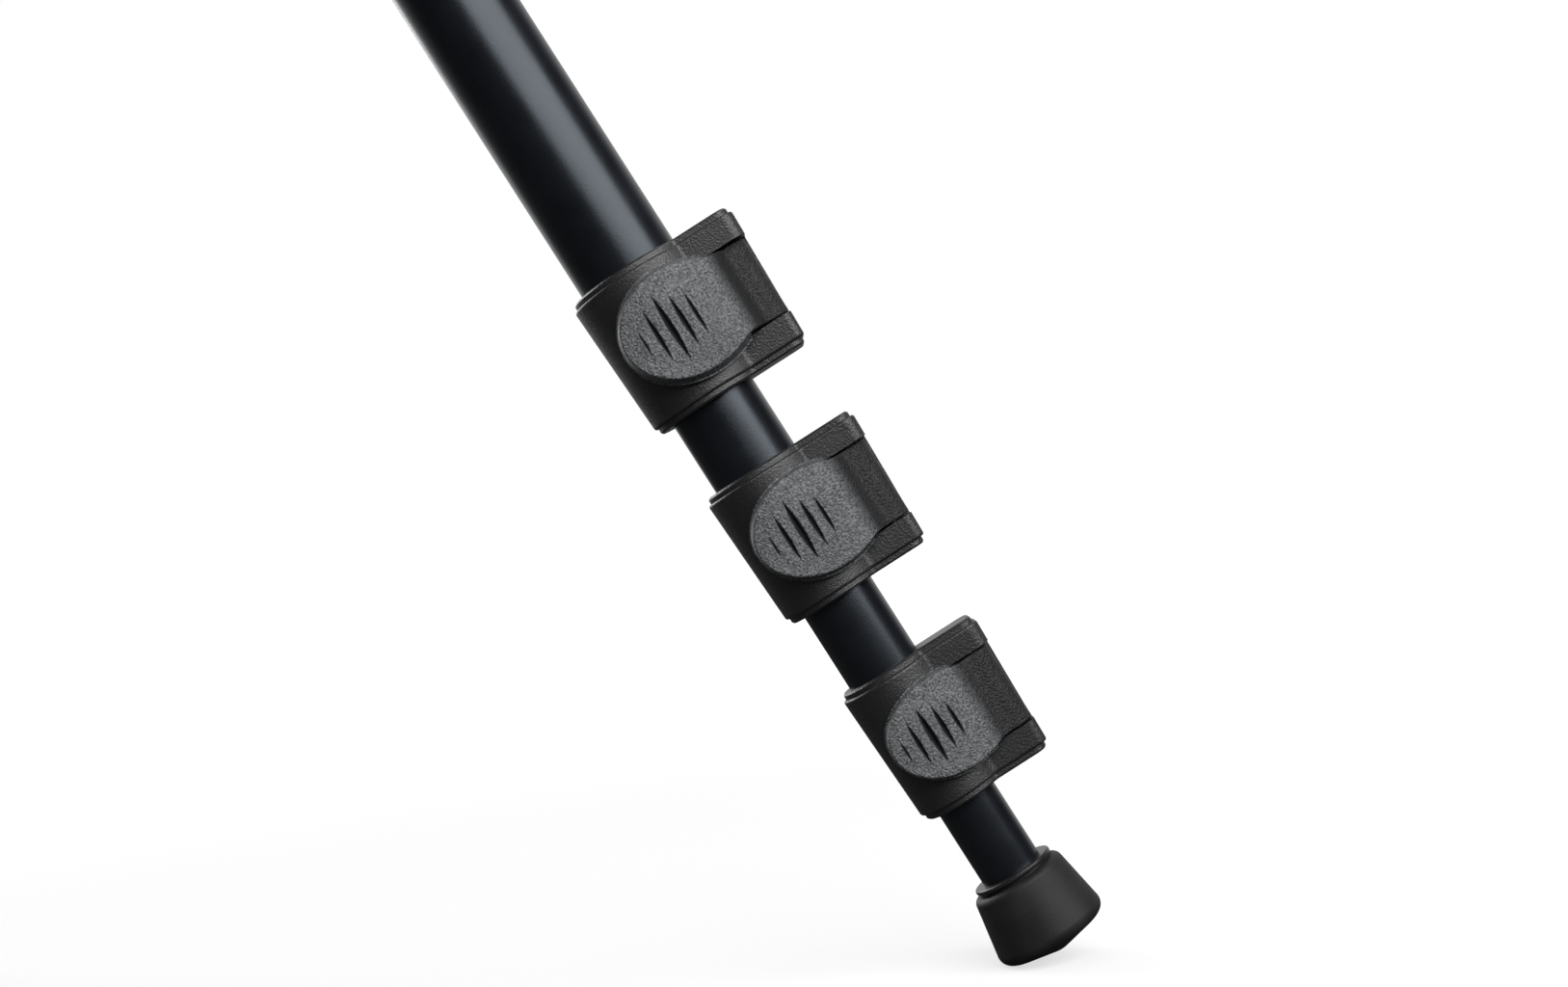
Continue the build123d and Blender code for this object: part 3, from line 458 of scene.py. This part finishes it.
def paint_shade_by_mark(material, mark, colour, roughness):
    """Painted shade: where the mesh carries that mark, colour and roughness change to these."""
    tree, shader, _ = parts_of(material)
    amount = add_node(tree, "ShaderNodeAttribute", attribute_name=mark).outputs["Fac"]
    tint = add_node(tree, "ShaderNodeMix", data_type="RGBA")
    tree.links.new(amount, tint.inputs[MIX_SWITCH])
    tree.links.new(shader.inputs["Base Color"].links[0].from_socket, tint.inputs[MIX_COLOUR_OFF])
    tint.inputs[MIX_COLOUR_ON].default_value = (*colour, 1.0)
    tree.links.new(tint.outputs[MIX_COLOUR_OUT], shader.inputs["Base Color"])
    old = shader.inputs["Roughness"].links[0].from_socket
    tree.links.new(choose(tree, amount, old, roughness), shader.inputs["Roughness"])


print("mark helper ready")

# %% Finger pads
# The grey base colour is painted sheen, for the light that the pads' coarse texture catches.
lever_plastic = finish("lever_plastic", colour=(0.099, 0.104, 0.110), roughness=0.46)
add_flecks(lever_plastic, size=0.6 * MM, share=0.5)
add_grain(lever_plastic, size=0.55 * MM, depth=0.45 * MM)
# Painted shade: the neck mark turns the neck near black.
paint_shade_by_mark(lever_plastic, "neck", colour=(0.008, 0.0083, 0.009), roughness=0.55)
# Painted shade: the groove mark darkens the hollows of the grooves.
paint_shade_by_mark(lever_plastic, "groove", colour=(0.003, 0.003, 0.003), roughness=0.8)
finishes["lever_plastic"] = lever_plastic
print("lever nodes:", len(lever_plastic.node_tree.nodes))

# %% [markdown]
# ## Rubber
# The foot is moulded rubber. It is matt, with hardly any grain, and a touch greyer in places, as
# handled rubber is. A worn look could be painted, but a stronger mottle is enough at this size.

# %% Rubber
foot_rubber = finish(
    "foot_rubber", colour=(0.013, 0.013, 0.014), roughness=0.6, specular=0.4, mottle=0.3)
finishes["foot_rubber"] = add_grain(foot_rubber, size=0.5 * MM, depth=0.06 * MM, strength=0.5)
print("rubber nodes:", len(foot_rubber.node_tree.nodes))

# %% [markdown]
# ## Small plastics
# The foot plug, the column's bush, the knob and the end cap are plain black mouldings. One
# finish could serve them all, but they differ in gloss: the bush is worn smooth by the column,
# and the knob is matt so that it grips. A table with one line for each says just that.

# %% Small plastics
BLUE_SHARE = 1.06
SMALL_PLASTICS = {
    # name: (grey, roughness, depth of the grain in millimetres)
    "plug_plastic": (0.016, 0.35, 0.03),
    "bush_plastic": (0.020, 0.40, 0.02),
    "knob_plastic": (0.014, 0.55, 0.10),
    "cap_plastic": (0.016, 0.45, 0.05),
}

for name, (grey, roughness, depth) in SMALL_PLASTICS.items():
    plastic = finish(name, (grey, grey, BLUE_SHARE * grey), roughness)
    finishes[name] = add_grain(plastic, size=0.5 * MM, depth=depth * MM, strength=0.7)
print(len(SMALL_PLASTICS), "small plastics")

# %% [markdown]
# ## Powder-coated castings
# Shoulder and leg castings are die-cast aluminium under a fine black powder coat. Powder melts
# into a soft orange-peel skin. One noise can't give both its scales, so there are two bumps:
# broad low waves, and small grit on top of them.

# %% Powder-coated castings
PEEL_WAVES, PEEL_GRIT = 1.8 * MM, 0.5 * MM

for name in ("leg_casting", "shoulder_casting"):
    coat = finish(name, colour=(0.018, 0.018, 0.020), roughness=0.44)
    add_grain(coat, size=PEEL_WAVES, depth=0.12 * MM, strength=0.8)
    finishes[name] = add_grain(coat, size=PEEL_GRIT, depth=0.08 * MM, strength=0.7)
print("castings:", PEEL_WAVES / MM, "mm waves under", PEEL_GRIT / MM, "mm grit")

# %% [markdown]
# ## Turned platform
# The platform is turned on a lathe and anodised, and the tool leaves fine rings round the screw.
# Cut as grooves they would need very many faces. A wave texture in ring mode makes them as a
# bump, centred on the column, which is the origin of the frame.

# %% Turned platform
RING_PITCH = 0.9 * MM
RING_WOBBLE = 0.4
WAVE_LENGTH = 0.314  # between two rings when the texture's scale is 1


def add_tool_marks(material, pitch, depth, strength):
    """Fine rings round the Z axis, as a lathe tool leaves them."""
    tree, _, coordinates = parts_of(material)
    rings = add_node(tree, "ShaderNodeTexWave", wave_type="RINGS", rings_direction="Z")
    set_inputs(rings, Scale=WAVE_LENGTH / pitch, Distortion=RING_WOBBLE)
    tree.links.new(coordinates, rings.inputs["Vector"])
    add_bump(material, rings.outputs["Fac"], depth, strength)
    return material


platform_metal = finish("platform_metal", colour=(0.014, 0.014, 0.016), roughness=0.50)
finishes["platform_metal"] = add_tool_marks(
    platform_metal, RING_PITCH, depth=0.06 * MM, strength=0.5)
print("tool marks every", round(RING_PITCH / MM, 2), "mm")

# %% [markdown]
# ## Bare metal
# The hinge bolts, the camera screw and the weight ring are plated or bare steel. The lock pins
# are steel too, but darkened, because a bright pin would show as a white dot beside its barrel.
# A mirror-smooth metal would look like chrome, so all have fine grit and a wide change in
# roughness. The angle latches are dull die castings, and only partly metallic.

# %% Bare metal
METAL_ROUGH_CHANGE = 0.10
BARE_METALS = {
    # name: (colour, roughness, depth of the grain in millimetres)
    "bolt_steel": ((0.36, 0.36, 0.37), 0.36, 0.03),
    "pin_steel": ((0.06, 0.06, 0.062), 0.45, 0.02),
    "stud_steel": ((0.50, 0.49, 0.47), 0.30, 0.01),
    "ring_steel": ((0.45, 0.45, 0.46), 0.30, 0.02),
}

for name, (colour, roughness, depth) in BARE_METALS.items():
    metal = finish(name, colour, roughness, metallic=1.0, rough_change=METAL_ROUGH_CHANGE)
    finishes[name] = add_grain(metal, size=0.4 * MM, depth=depth * MM, strength=0.5)
latch_metal = finish("latch_metal", colour=(0.09, 0.092, 0.10), roughness=0.40, metallic=0.6)
finishes["latch_metal"] = add_grain(latch_metal, size=0.6 * MM, depth=0.06 * MM, strength=0.5)
print(len(BARE_METALS) + 1, "metals")

# %% [markdown]
# ## The CAD nodes
# Nodes whose shape is right stay as they are and only get a finish, through their material
# slots. Each node could be listed with its finish, but a node's name says which piece it is, so
# one word of it is enough to choose.

# %% Paint the CAD nodes
NODE_FINISHES = {
    "tube": "tube_black",
    "centre_column": "tube_black",
    "housing": "housing_plastic",
    "lever": "lever_plastic",
    "rubber_foot": "foot_rubber",
    "foot_plug": "plug_plastic",
    "top_casting": "leg_casting",
    "angle_latch": "latch_metal",
    "pin_and_shoe": "pin_steel",
    "hinge_bolts": "bolt_steel",
    "shoulder": "shoulder_casting",
    "column_bush": "bush_plastic",
    "column_knob": "knob_plastic",
    "camera_platform": "platform_metal",
    "camera_stud": "stud_steel",
    "column_end_cap": "cap_plastic",
    "weight_ring": "ring_steel",
}

for node_name, node in frame["nodes"].items():
    finish_name = next(value for word, value in NODE_FINISHES.items() if word in node_name)
    for material_slot in node.material_slots:
        material_slot.material = finishes[finish_name]
print("painted", len(frame["nodes"]), "nodes")

# %% [markdown]
# ## The flip levers
# Each lock closes with a moulded lever: a broad finger pad, a neck that drops to the hinge, and
# a barrel round the pin. The CAD lever is exact but stiff, with a hard line where pad meets
# neck. Modifiers could soften it, but they would soften the grooves as well. So the lever is
# made again as one fine mesh on the same outline. Everything about it is in millimetres until
# the mesh is made: X runs from the tube's axis out to the hinge, Y from the pad's face back
# through the tube, and Z up the leg from the middle of the lever.

# %% Lever sizes
from math import acos, asin, sqrt, tan

# One value for each lock, from the top one down.
PAD_HALF_HEIGHTS = (14.15, 13.4, 12.6)
PAD_TIPS = (-11.9, -11.0, -9.9)
PAD_WIDEST = (5.5, 6.6, 7.2)
PAD_FOOT_OUT = (1.0, 0.7, 0.45)  # the wall's foot stands out this far past its top
COLLAR_RADII = (17.8, 15.6, 13.4)
LUG_HALF_DEPTHS = (11.2, 9.8, 8.4)
# The same for all locks.
COLLAR_SLOPE = tan(radians(1.87))
COLLAR_TOP = 18.4  # height at which the collar has its full radius
HINGE_FORWARD = 3.0  # from the tube's axis towards the pad
BARREL_RADIUS = 5.3
BARREL_HALF = 11.1
PIN_HOLE_RADIUS = 1.55
LEVER_RAISE = 0.2  # the lever's middle above the lock's
LEVER_LIFT = 0.45  # gap between lever and collar
print("lever pads", [2 * half for half in PAD_HALF_HEIGHTS], "mm high")

# %% [markdown]
# ## The lever's outline
# Seen from the front, the nose of the pad is half an ellipse. Past its widest place it bends
# round a shoulder and back at a waist, into a neck of even height. A curve with handles could
# be fitted by eye, but two arcs that touch are what a toolmaker would cut, and they come from
# two radii alone.

# %% The outline of pad and neck
NECK_HALF = 11.0
SHOULDER_BEND, WAIST_BEND = 24.0, 10.0


def half_height(lock, x):
    """Half of the lever's height at x: an ellipse, then a bend out and a bend back."""
    half, tip, widest = PAD_HALF_HEIGHTS[lock], PAD_TIPS[lock], PAD_WIDEST[lock]
    if x <= widest:
        return half * sqrt(max(0.0, 1 - ((x - widest) / (widest - tip)) ** 2))
    turn = acos(1 - (half - NECK_HALF) / (SHOULDER_BEND + WAIST_BEND))
    if x < widest + SHOULDER_BEND * sin(turn):
        return half - SHOULDER_BEND + sqrt(SHOULDER_BEND**2 - (x - widest) ** 2)
    left = widest + (SHOULDER_BEND + WAIST_BEND) * sin(turn) - x
    if left > 0:
        return NECK_HALF + WAIST_BEND - sqrt(WAIST_BEND**2 - left**2)
    return NECK_HALF


print("half heights at x = 0:", [round(half_height(lock, 0.0), 2) for lock in range(3)], "mm")

# %% [markdown]
# ## The lever's front
# Seen from its end, the face is a shallow arc that leans more and more. It then rolls over the
# shoulder and runs out in a hollow on to the barrel. Flat steps and fillets would show a line
# at each join. A single curve with two handles leaves the face at its own slope and lands on
# the barrel gently. The curve gives x and depth together, so the depth at one x is found by
# halving.

# %% The curve from face to barrel
FACE_END = 6.5  # from the end of the face to the hinge line
FACE_END_BACK = 2.05  # behind the front of the lever's seat on the collar
FACE_END_LEAN = radians(25)
FACE_HANDLE, BARREL_HANDLE = 5.0, 3.4
BARREL_HANDLE_SLOPE = 0.12
BARREL_MEET = 0.6  # the front lands on the barrel this far past the hinge line


def face_end(lock, hinge_out):
    """Where the face ends and the roll begins, as x and depth."""
    return hinge_out - FACE_END, FACE_END_BACK - (COLLAR_RADII[lock] + LEVER_LIFT)


def neck_curve(lock, hinge_out):
    """The two ends and the two handles of the curve from face to barrel, in order."""
    start = Vector(face_end(lock, hinge_out))
    meet_depth = sqrt(BARREL_RADIUS**2 - BARREL_MEET**2)
    stop = Vector((hinge_out + BARREL_MEET, -HINGE_FORWARD - meet_depth))
    first = start + FACE_HANDLE * Vector((cos(FACE_END_LEAN), sin(FACE_END_LEAN)))
    last = stop - BARREL_HANDLE * Vector((1.0, BARREL_HANDLE_SLOPE))
    return start, first, last, stop


print("the face ends", FACE_END, "mm before the hinge line")

# %% The depth of the front
FACE_RADIUS = 70.0
HALVINGS = 24


def face_level(lock, hinge_out, x):
    """Depth of the front at x: a shallow arc, a roll over the shoulder, a hollow to the barrel."""
    end_x, end_y = face_end(lock, hinge_out)
    if x <= end_x:
        lean = asin(sin(FACE_END_LEAN) + (x - end_x) / FACE_RADIUS)
        return end_y - FACE_RADIUS * (cos(lean) - cos(FACE_END_LEAN))
    start, first, last, stop = neck_curve(lock, hinge_out)
    low, high = 0.0, 1.0
    for _ in range(HALVINGS):
        t = (low + high) / 2
        point = ((1 - t) ** 3 * start + 3 * t * (1 - t) ** 2 * first
                 + 3 * t**2 * (1 - t) * last + t**3 * stop)
        low, high = (t, high) if point.x < x else (low, t)
    return point.y


print("face radius", FACE_RADIUS, "mm")

# %% [markdown]
# ## The grip grooves
# Five grooves run up each pad, long in the middle of the pad and short at its sides. Each is a
# spindle with a V cross-section. A boolean could cut them, but it leaves slivers in a fine mesh.
# Here the depth at any point is a formula, and the face is simply pressed in by that much.

# %% The grip grooves
# For each groove: its place along the pad, half of its length, and its width.
GROOVES = ((-6.4, 4.1, 0.8), (-2.6, 7.6, 1.4), (1.3, 9.7, 1.9), (5.0, 7.8, 1.5), (8.6, 6.5, 1.2))
GROOVE_SCALES = (1.0, 0.92, 0.84)
GROOVE_STEEPNESS = 1.5


def groove_depth(lock, x, z):
    """How deep the grip grooves are at that point."""
    deepest = 0.0
    for place, half_length, width in GROOVES:
        along = z / (half_length * GROOVE_SCALES[lock])
        if abs(along) < 1:
            half_width = width / 2 * (1 - along**2)
            deepest = max(deepest, GROOVE_STEEPNESS * (half_width - abs(x - place)))
    return deepest


depths = [round(groove_depth(0, place, 0.0), 2) for place, _, _ in GROOVES]
print("grooves", depths, "mm deep in the middle")

# %% [markdown]
# ## Stations along the lever
# The skin is a grid. Its lines stand close together where the grooves are, because a groove
# stays crisp only if faces line up with it, and further apart elsewhere. A grid as fine as that
# all over would waste faces on the plain parts. Towards the nose the lines crowd together too,
# because the outline turns fast there.

# %% Stations along the lever
import numpy as np

NOSE_STATIONS = 12
TIP_GAP = 0.02
GROOVE_MARGIN_IN, GROOVE_MARGIN_OUT = 1.2, 1.4
GROOVE_STEP, PLAIN_STEP, BARREL_STEP = 0.2, 0.5, 0.3
PLAIN_STOP = 0.1
CREASE = 0.01


def lever_stations(hinge_out, tip):
    """Places along the pad, from the tip of its nose to the barrel."""
    start = tip + TIP_GAP
    grooves_in, grooves_out = GROOVES[0][0] - GROOVE_MARGIN_IN, GROOVES[-1][0] + GROOVE_MARGIN_OUT
    arm, stop = hinge_out - BARREL_RADIUS, hinge_out + BARREL_MEET
    nose_angles = [pi / 2 * i / NOSE_STATIONS for i in range(NOSE_STATIONS)]
    nose = [start + (grooves_in - start) * (1 - cos(angle)) for angle in nose_angles]
    grooved = np.arange(grooves_in, grooves_out, GROOVE_STEP)
    plain = np.arange(grooves_out, arm - PLAIN_STOP, PLAIN_STEP)
    over_barrel = np.arange(arm + BARREL_STEP, stop, BARREL_STEP)
    return [*nose, *grooved, *plain, arm - CREASE, arm + CREASE, *over_barrel, stop]


print("stations", GROOVE_STEP, "mm apart at the grooves and", PLAIN_STEP, "mm at the neck")

# %% [markdown]
# ## The back of the lever
# On the real lock the closed lever lies close to the housing. A boolean with a grown housing
# would cut that seat, but the seat is only a drafted collar and a flat lug, so its depth is a
# formula as well. Past the pad the back steps in to the hinge line, inside the barrel.

# %% The back of the lever


def back_level(lock, hinge_out, x, z):
    """Depth of the lever's back: it follows collar and lug, and the arm goes in to the hinge."""
    if x > hinge_out - BARREL_RADIUS and abs(z) < BARREL_HALF + LEVER_LIFT:
        return -HINGE_FORWARD
    radius = COLLAR_RADII[lock] + LEVER_LIFT - COLLAR_SLOPE * (COLLAR_TOP - z)
    round_side = sqrt(radius**2 - x**2) if abs(x) < radius else 0.0
    return -max(round_side, LUG_HALF_DEPTHS[lock] + LEVER_LIFT)


print("gap under the lever", LEVER_LIFT, "mm")

# %% [markdown]
# ## One row of points
# At each station a row of points goes from the middle of the face over the rounded edge, down
# the wall, round a small lip at its foot and along the back to the middle again. The edge could
# be a bevel modifier. Worked out one by one, it keeps one width all round the pad, and every row
# has the same number of points, so that rows can be joined without thinking.

# %% The way the wall faces
SLOPE_STEP = 0.01


def wall_way(lock, x):
    """The way in which the outline of the pad faces at x."""
    before = half_height(lock, max(x - SLOPE_STEP, PAD_TIPS[lock]))
    after = half_height(lock, x + SLOPE_STEP)
    return Vector(((before - after) / (2 * SLOPE_STEP), 1.0)).normalized()


print("at its widest place the wall faces", [round(share, 2) for share in wall_way(0, PAD_WIDEST[0])])

# %% One row of points
EDGE = 0.45
EDGE_ANGLES = (30, 60, 90)
LEAST_HEIGHT = 0.1
LIP_OUT, LIP_HEIGHT = 0.35, 0.5
FACE_ROWS = 22
BACK_ROWS = 4


def lever_row(lock, hinge_out, x):
    """Points of the upper half at x, from the middle of the face to the middle of the back."""
    height = half_height(lock, x)
    out = wall_way(lock, x)
    inner_x, inner_z = x - EDGE * out.x, max(LEAST_HEIGHT, height - EDGE * out.y)
    front = face_level(lock, hinge_out, inner_x)
    back = back_level(lock, hinge_out, x, height)
    face_heights = [inner_z * row / FACE_ROWS for row in range(FACE_ROWS + 1)]
    cuts = [groove_depth(lock, inner_x, z) for z in face_heights]
    points = [(inner_x, front + cut, z) for cut, z in zip(cuts, face_heights)]
    for angle in EDGE_ANGLES:
        inset, drop = EDGE * (1 - sin(radians(angle))), EDGE * (1 - cos(radians(angle)))
        points.append((x - out.x * inset, front + drop, height - out.y * inset))
    foot_out = PAD_FOOT_OUT[lock] if x < hinge_out - FACE_END else 0.0
    lip_out = foot_out + LIP_OUT if foot_out else 0.0
    lip_top = max(back - LIP_HEIGHT, front + EDGE)
    for level, grow in ((lip_top, foot_out), (lip_top, lip_out), (back, lip_out)):
        points.append((x + out.x * grow, level, height + out.y * grow))
    for row in range(BACK_ROWS + 1):
        z = height * (1 - row / BACK_ROWS)
        points.append((x, back_level(lock, hinge_out, x, z), z))
    return points, cuts + [0.0] * (len(points) - len(cuts))


print("face rows:", FACE_ROWS, "edge", EDGE, "mm")

# %% [markdown]
# ## The skin of pad and neck
# The upper half is mirrored to give the lower one. A mirror modifier would do that as well, but
# the marks for the finish are easier to keep in step with plain lists. Both halves share the
# middle of face and back, and strips across the two ends close the skin.

# %% The skin of pad and neck


def lever_skin(lock, hinge_out):
    """Points, groove depths and faces of pad and neck."""
    rows = [lever_row(lock, hinge_out, x) for x in lever_stations(hinge_out, PAD_TIPS[lock])]
    count = len(rows[0][0])
    points, depths, faces, starts = [], [], [], []
    for side in (1, -1):
        starts.append(len(points))
        for row_points, row_cuts in rows:
            points += [(x, y, side * z) for x, y, z in row_points]
            depths += row_cuts
        for row in range(len(rows) - 1):
            for place in range(count - 1):
                a = starts[-1] + row * count + place
                quad = (a, a + 1, a + count + 1, a + count)
                faces.append(quad if side > 0 else quad[::-1])
    for station in (0, len(rows) - 1):
        upper, lower = (start + station * count for start in starts)
        for a, b in zip(range(upper, upper + count - 1), range(lower, lower + count - 1)):
            quad = (a, b, b + 1, a + 1)
            faces.append(quad if station == 0 else quad[::-1])
    return points, depths, faces


print("skin helper ready")

# %% [markdown]
# ## The barrel
# The lever turns on a round barrel with a hole for the pin. A cylinder with a boolean hole would
# do. Six rings of points, joined in a closed loop, give the same shape with the small chamfers
# at both ends and no leftover faces.

# %% The barrel
BARREL_EDGE = 0.3
BARREL_SIDES = 64


def barrel_skin(first):
    """Points and faces of the barrel; its points are numbered from the first."""
    chamfered = BARREL_RADIUS - BARREL_EDGE
    wall_end = BARREL_HALF - BARREL_EDGE
    rings = ((PIN_HOLE_RADIUS, -BARREL_HALF), (chamfered, -BARREL_HALF), (BARREL_RADIUS, -wall_end),
             (BARREL_RADIUS, wall_end), (chamfered, BARREL_HALF), (PIN_HOLE_RADIUS, BARREL_HALF))
    points, faces = [], []
    for ring, (radius, z) in enumerate(rings):
        following = (ring + 1) % len(rings)
        for side in range(BARREL_SIDES):
            angle = 2 * pi * side / BARREL_SIDES
            points.append((radius * cos(angle), radius * sin(angle), z + LEVER_RAISE))
            beside = (side + 1) % BARREL_SIDES
            corners = ((ring, side), (ring, beside), (following, beside), (following, side))
            faces.append(tuple(first + BARREL_SIDES * level + place for level, place in corners))
    return points, faces


print("barrel", 2 * BARREL_RADIUS, "mm thick and", 2 * BARREL_HALF, "mm long")

# %% [markdown]
# ## A closed mesh with marks
# The middle lines of the two halves lie on each other, and at the tip some faces are empty. The
# points that coincide are joined, empty faces go, and all faces are turned outwards, so that the
# lever is watertight. The merge command of the editor does the same by hand. A mark is a number
# from 0 to 1 on every point, which the finish reads by its name.

# %% Close a mesh and mark its points
import bmesh

SAME_POINT = 1e-6
EMPTY_EDGE = SAME_POINT / 10


def clamp(share):
    """The share, kept between 0 and 1."""
    return min(1.0, max(0.0, share))


def mark_points(mesh, name, shares):
    """Stores a share for every point, under that name."""
    mark = mesh.attributes.new(name, "FLOAT", "POINT")
    mark.data.foreach_set("value", [clamp(share) for share in shares])


def close_mesh(mesh):
    """Joins points that coincide, drops empty faces and turns all faces outwards."""
    work = bmesh.new()
    work.from_mesh(mesh)
    bmesh.ops.remove_doubles(work, verts=work.verts, dist=SAME_POINT)
    bmesh.ops.dissolve_degenerate(work, edges=work.edges, dist=EMPTY_EDGE)
    bmesh.ops.recalc_face_normals(work, faces=work.faces)
    open_edges = sum(not edge.is_manifold for edge in work.edges)
    volume = work.calc_volume(signed=True) / MM**3
    work.to_mesh(mesh)
    work.free()
    print(mesh.name, "open edges:", open_edges, "volume:", round(volume), "cubic mm")


print("points closer than", SAME_POINT / MM, "mm are joined")

# %% [markdown]
# ## One lever mesh
# The hinge line becomes the mesh's own Z axis, because that is the line it turns about. The neck
# mark, which carries painted shade, starts just before the end of the face, and the groove mark,
# which carries painted shade into the grooves, is full a quarter of a millimetre down. Faces are
# shaded smooth, except over sharp bends, which keeps the edge and the grooves clear without
# splitting the mesh.

# %% Build one lever mesh
NECK_SHADE_START, NECK_SHADE_LENGTH = -0.5, 3.5
GROOVE_SHADE_PER_MM = 4
LEVER_SHARP = radians(40)


def lever_mesh(lock, hinge_out):
    """Closed mesh of pad, neck and barrel, with the hinge line as its own Z axis."""
    pad, depths, faces = lever_skin(lock, hinge_out)
    barrel, barrel_faces = barrel_skin(len(pad))
    points = [(x - hinge_out, y + HINGE_FORWARD, z + LEVER_RAISE) for x, y, z in pad] + barrel
    mesh = bpy.data.meshes.new(f"lever_{lock + 1}")
    mesh.from_pydata([(x * MM, y * MM, z * MM) for x, y, z in points], [], faces + barrel_faces)
    mesh.validate()
    # The groove mark carries painted shade into the grooves, more where they are deeper.
    mark_points(mesh, "groove", [GROOVE_SHADE_PER_MM * depth for depth in depths] + [0.0] * len(barrel))
    # The neck mark carries painted shade on to the neck, from just before the end of the face.
    past_face = [x + FACE_END for x, _, _ in points]
    mark_points(mesh, "neck", [(past - NECK_SHADE_START) / NECK_SHADE_LENGTH for past in past_face])
    close_mesh(mesh)
    mesh.shade_smooth()
    mesh.set_sharp_from_angle(angle=LEVER_SHARP)
    mesh.materials.append(finishes["lever_plastic"])
    return mesh


print("lever helper ready")

# %% [markdown]
# ## A lever in every lock
# The three legs have the same locks, so three meshes serve nine levers. Copies with a fixed turn
# would have to repeat the layout of the legs. The frame already holds each hinge's place and
# axis, so those place the levers, and the top joint of the leg gives the distance from the
# tube's axis to the hinge.

# %% Fit a lever into every lock
joints = {joint["name"]: joint for joint in frame["joints"]}
lever_meshes = {}
for leg in (1, 2, 3):
    top = Vector(joints[f"leg_{leg}_fold"]["pos_m"])
    for lock in range(3):
        flip = joints[f"leg_{leg}_lever_{lock + 1}_flip"]
        hinge, up = Vector(flip["pos_m"]), Vector(flip["axis"]).normalized()
        sideways = Vector((up.y, -up.x, 0.0)).normalized()
        outward = sideways.cross(up)
        if lock not in lever_meshes:
            lever_meshes[lock] = lever_mesh(lock, (hinge - top).dot(outward) / MM)
        lever = bpy.data.objects.new(f"leg_{leg}_lock_{lock + 1}_moulded_lever", lever_meshes[lock])
        turn = Matrix((outward, sideways, up)).transposed().to_4x4()
        lever.matrix_world = Matrix.Translation(hinge) @ turn
        scene.collection.objects.link(lever)
        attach(lever, f"leg_{leg}_lever_{lock + 1}")
        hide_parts(f"leg_{leg}_lock_{lock + 1}_lever")
print("levers:", {lock + 1: len(mesh.polygons) for lock, mesh in lever_meshes.items()}, "faces each")

# %% [markdown]
# ## The camera screw
# The stud that a camera screws on to has a real thread, 3/8 inch with 16 turns to the inch. The
# CAD keeps it as a plain rod of the thread's outer size. A screw modifier would wind a profile
# into a spring that overlaps itself at every turn. Here it is one closed skin: rings of points go
# round it, and the radius follows a ridge that climbs one pitch per turn. The ridge fades out at
# the platform and at the top, where the end is also chamfered. All sizes are in millimetres.

# %% The surface of the thread
INCH = 25.4
THREAD_RADIUS = INCH * 3 / 16
THREAD_PITCH = INCH / 16
THREAD_DEPTH = 0.86
RIDGE_TOP, RIDGE_FLANK = 1.25, 2.6  # a ridge cut off at 1 has a flat crest
LEAD_IN = 1.2
RUN_IN_BELOW, RUN_IN = 0.4, 0.6
CHAMFER_HEIGHT, CHAMFER_SLOPE = 0.8, 0.7

stud_low, stud_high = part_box("camera_stud")
stud_bottom, stud_top = stud_low.z / MM, stud_high.z / MM
platform_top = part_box("camera_platform")[1].z / MM


def thread_radius(angle, z):
    """Radius of the stud's surface at that angle and height."""
    turn = (z / THREAD_PITCH - angle / (2 * pi)) % 1.0
    ridge = clamp(RIDGE_TOP - RIDGE_FLANK * abs(turn - 0.5))
    fade = clamp((stud_top - z) / LEAD_IN) * clamp((z - platform_top + RUN_IN_BELOW) / RUN_IN)
    chamfer = min(0.0, CHAMFER_SLOPE * (stud_top - z - CHAMFER_HEIGHT))
    return THREAD_RADIUS - THREAD_DEPTH + THREAD_DEPTH * ridge * fade + chamfer


print("thread:", round((stud_top - platform_top) / THREAD_PITCH, 1), "turns")

# %% Heights of the screw's rings
SHANK_END, THREAD_START = 0.9, 0.8  # below the top of the platform
STEPS_PER_PITCH = 16

threaded = stud_top - platform_top + THREAD_START
count = int(threaded / THREAD_PITCH * STEPS_PER_PITCH)
shank_heights = [stud_bottom, platform_top - SHANK_END]
thread_heights = [platform_top - THREAD_START + threaded * i / count for i in range(count + 1)]
heights = shank_heights + thread_heights
print(len(heights), "rings")

# %% Build the screw
SHANK_RADIUS = 4.0
ROUND_STEPS = 72
SCREW_SHARP = radians(35)

skin, quads = [], []
for z in heights:
    for step in range(ROUND_STEPS):
        angle = 2 * pi * step / ROUND_STEPS
        radius = SHANK_RADIUS if z in shank_heights else thread_radius(angle, z)
        skin.append((radius * cos(angle) * MM, radius * sin(angle) * MM, z * MM))
for level in range(len(heights) - 1):
    for step in range(ROUND_STEPS):
        a, b = level * ROUND_STEPS + step, level * ROUND_STEPS + (step + 1) % ROUND_STEPS
        quads.append((a, b, b + ROUND_STEPS, a + ROUND_STEPS))
quads.append(tuple(range(ROUND_STEPS))[::-1])
quads.append(tuple(range(len(skin) - ROUND_STEPS, len(skin))))
thread_mesh = bpy.data.meshes.new("camera_screw")
thread_mesh.from_pydata(skin, [], quads)
thread_mesh.shade_smooth()
thread_mesh.set_sharp_from_angle(angle=SCREW_SHARP)
thread_mesh.materials.append(finishes["stud_steel"])
print("screw faces:", len(quads))

# %% Put the screw in the column
screw = bpy.data.objects.new("camera_screw", thread_mesh)
scene.collection.objects.link(screw)
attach(screw, "column")
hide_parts("camera_stud")
print("screw from z =", round(stud_bottom, 1), "to", round(stud_top, 1), "mm")

# %% [markdown]
# ## The end
# The last cell only imports the json module.

# %% Import json
import json
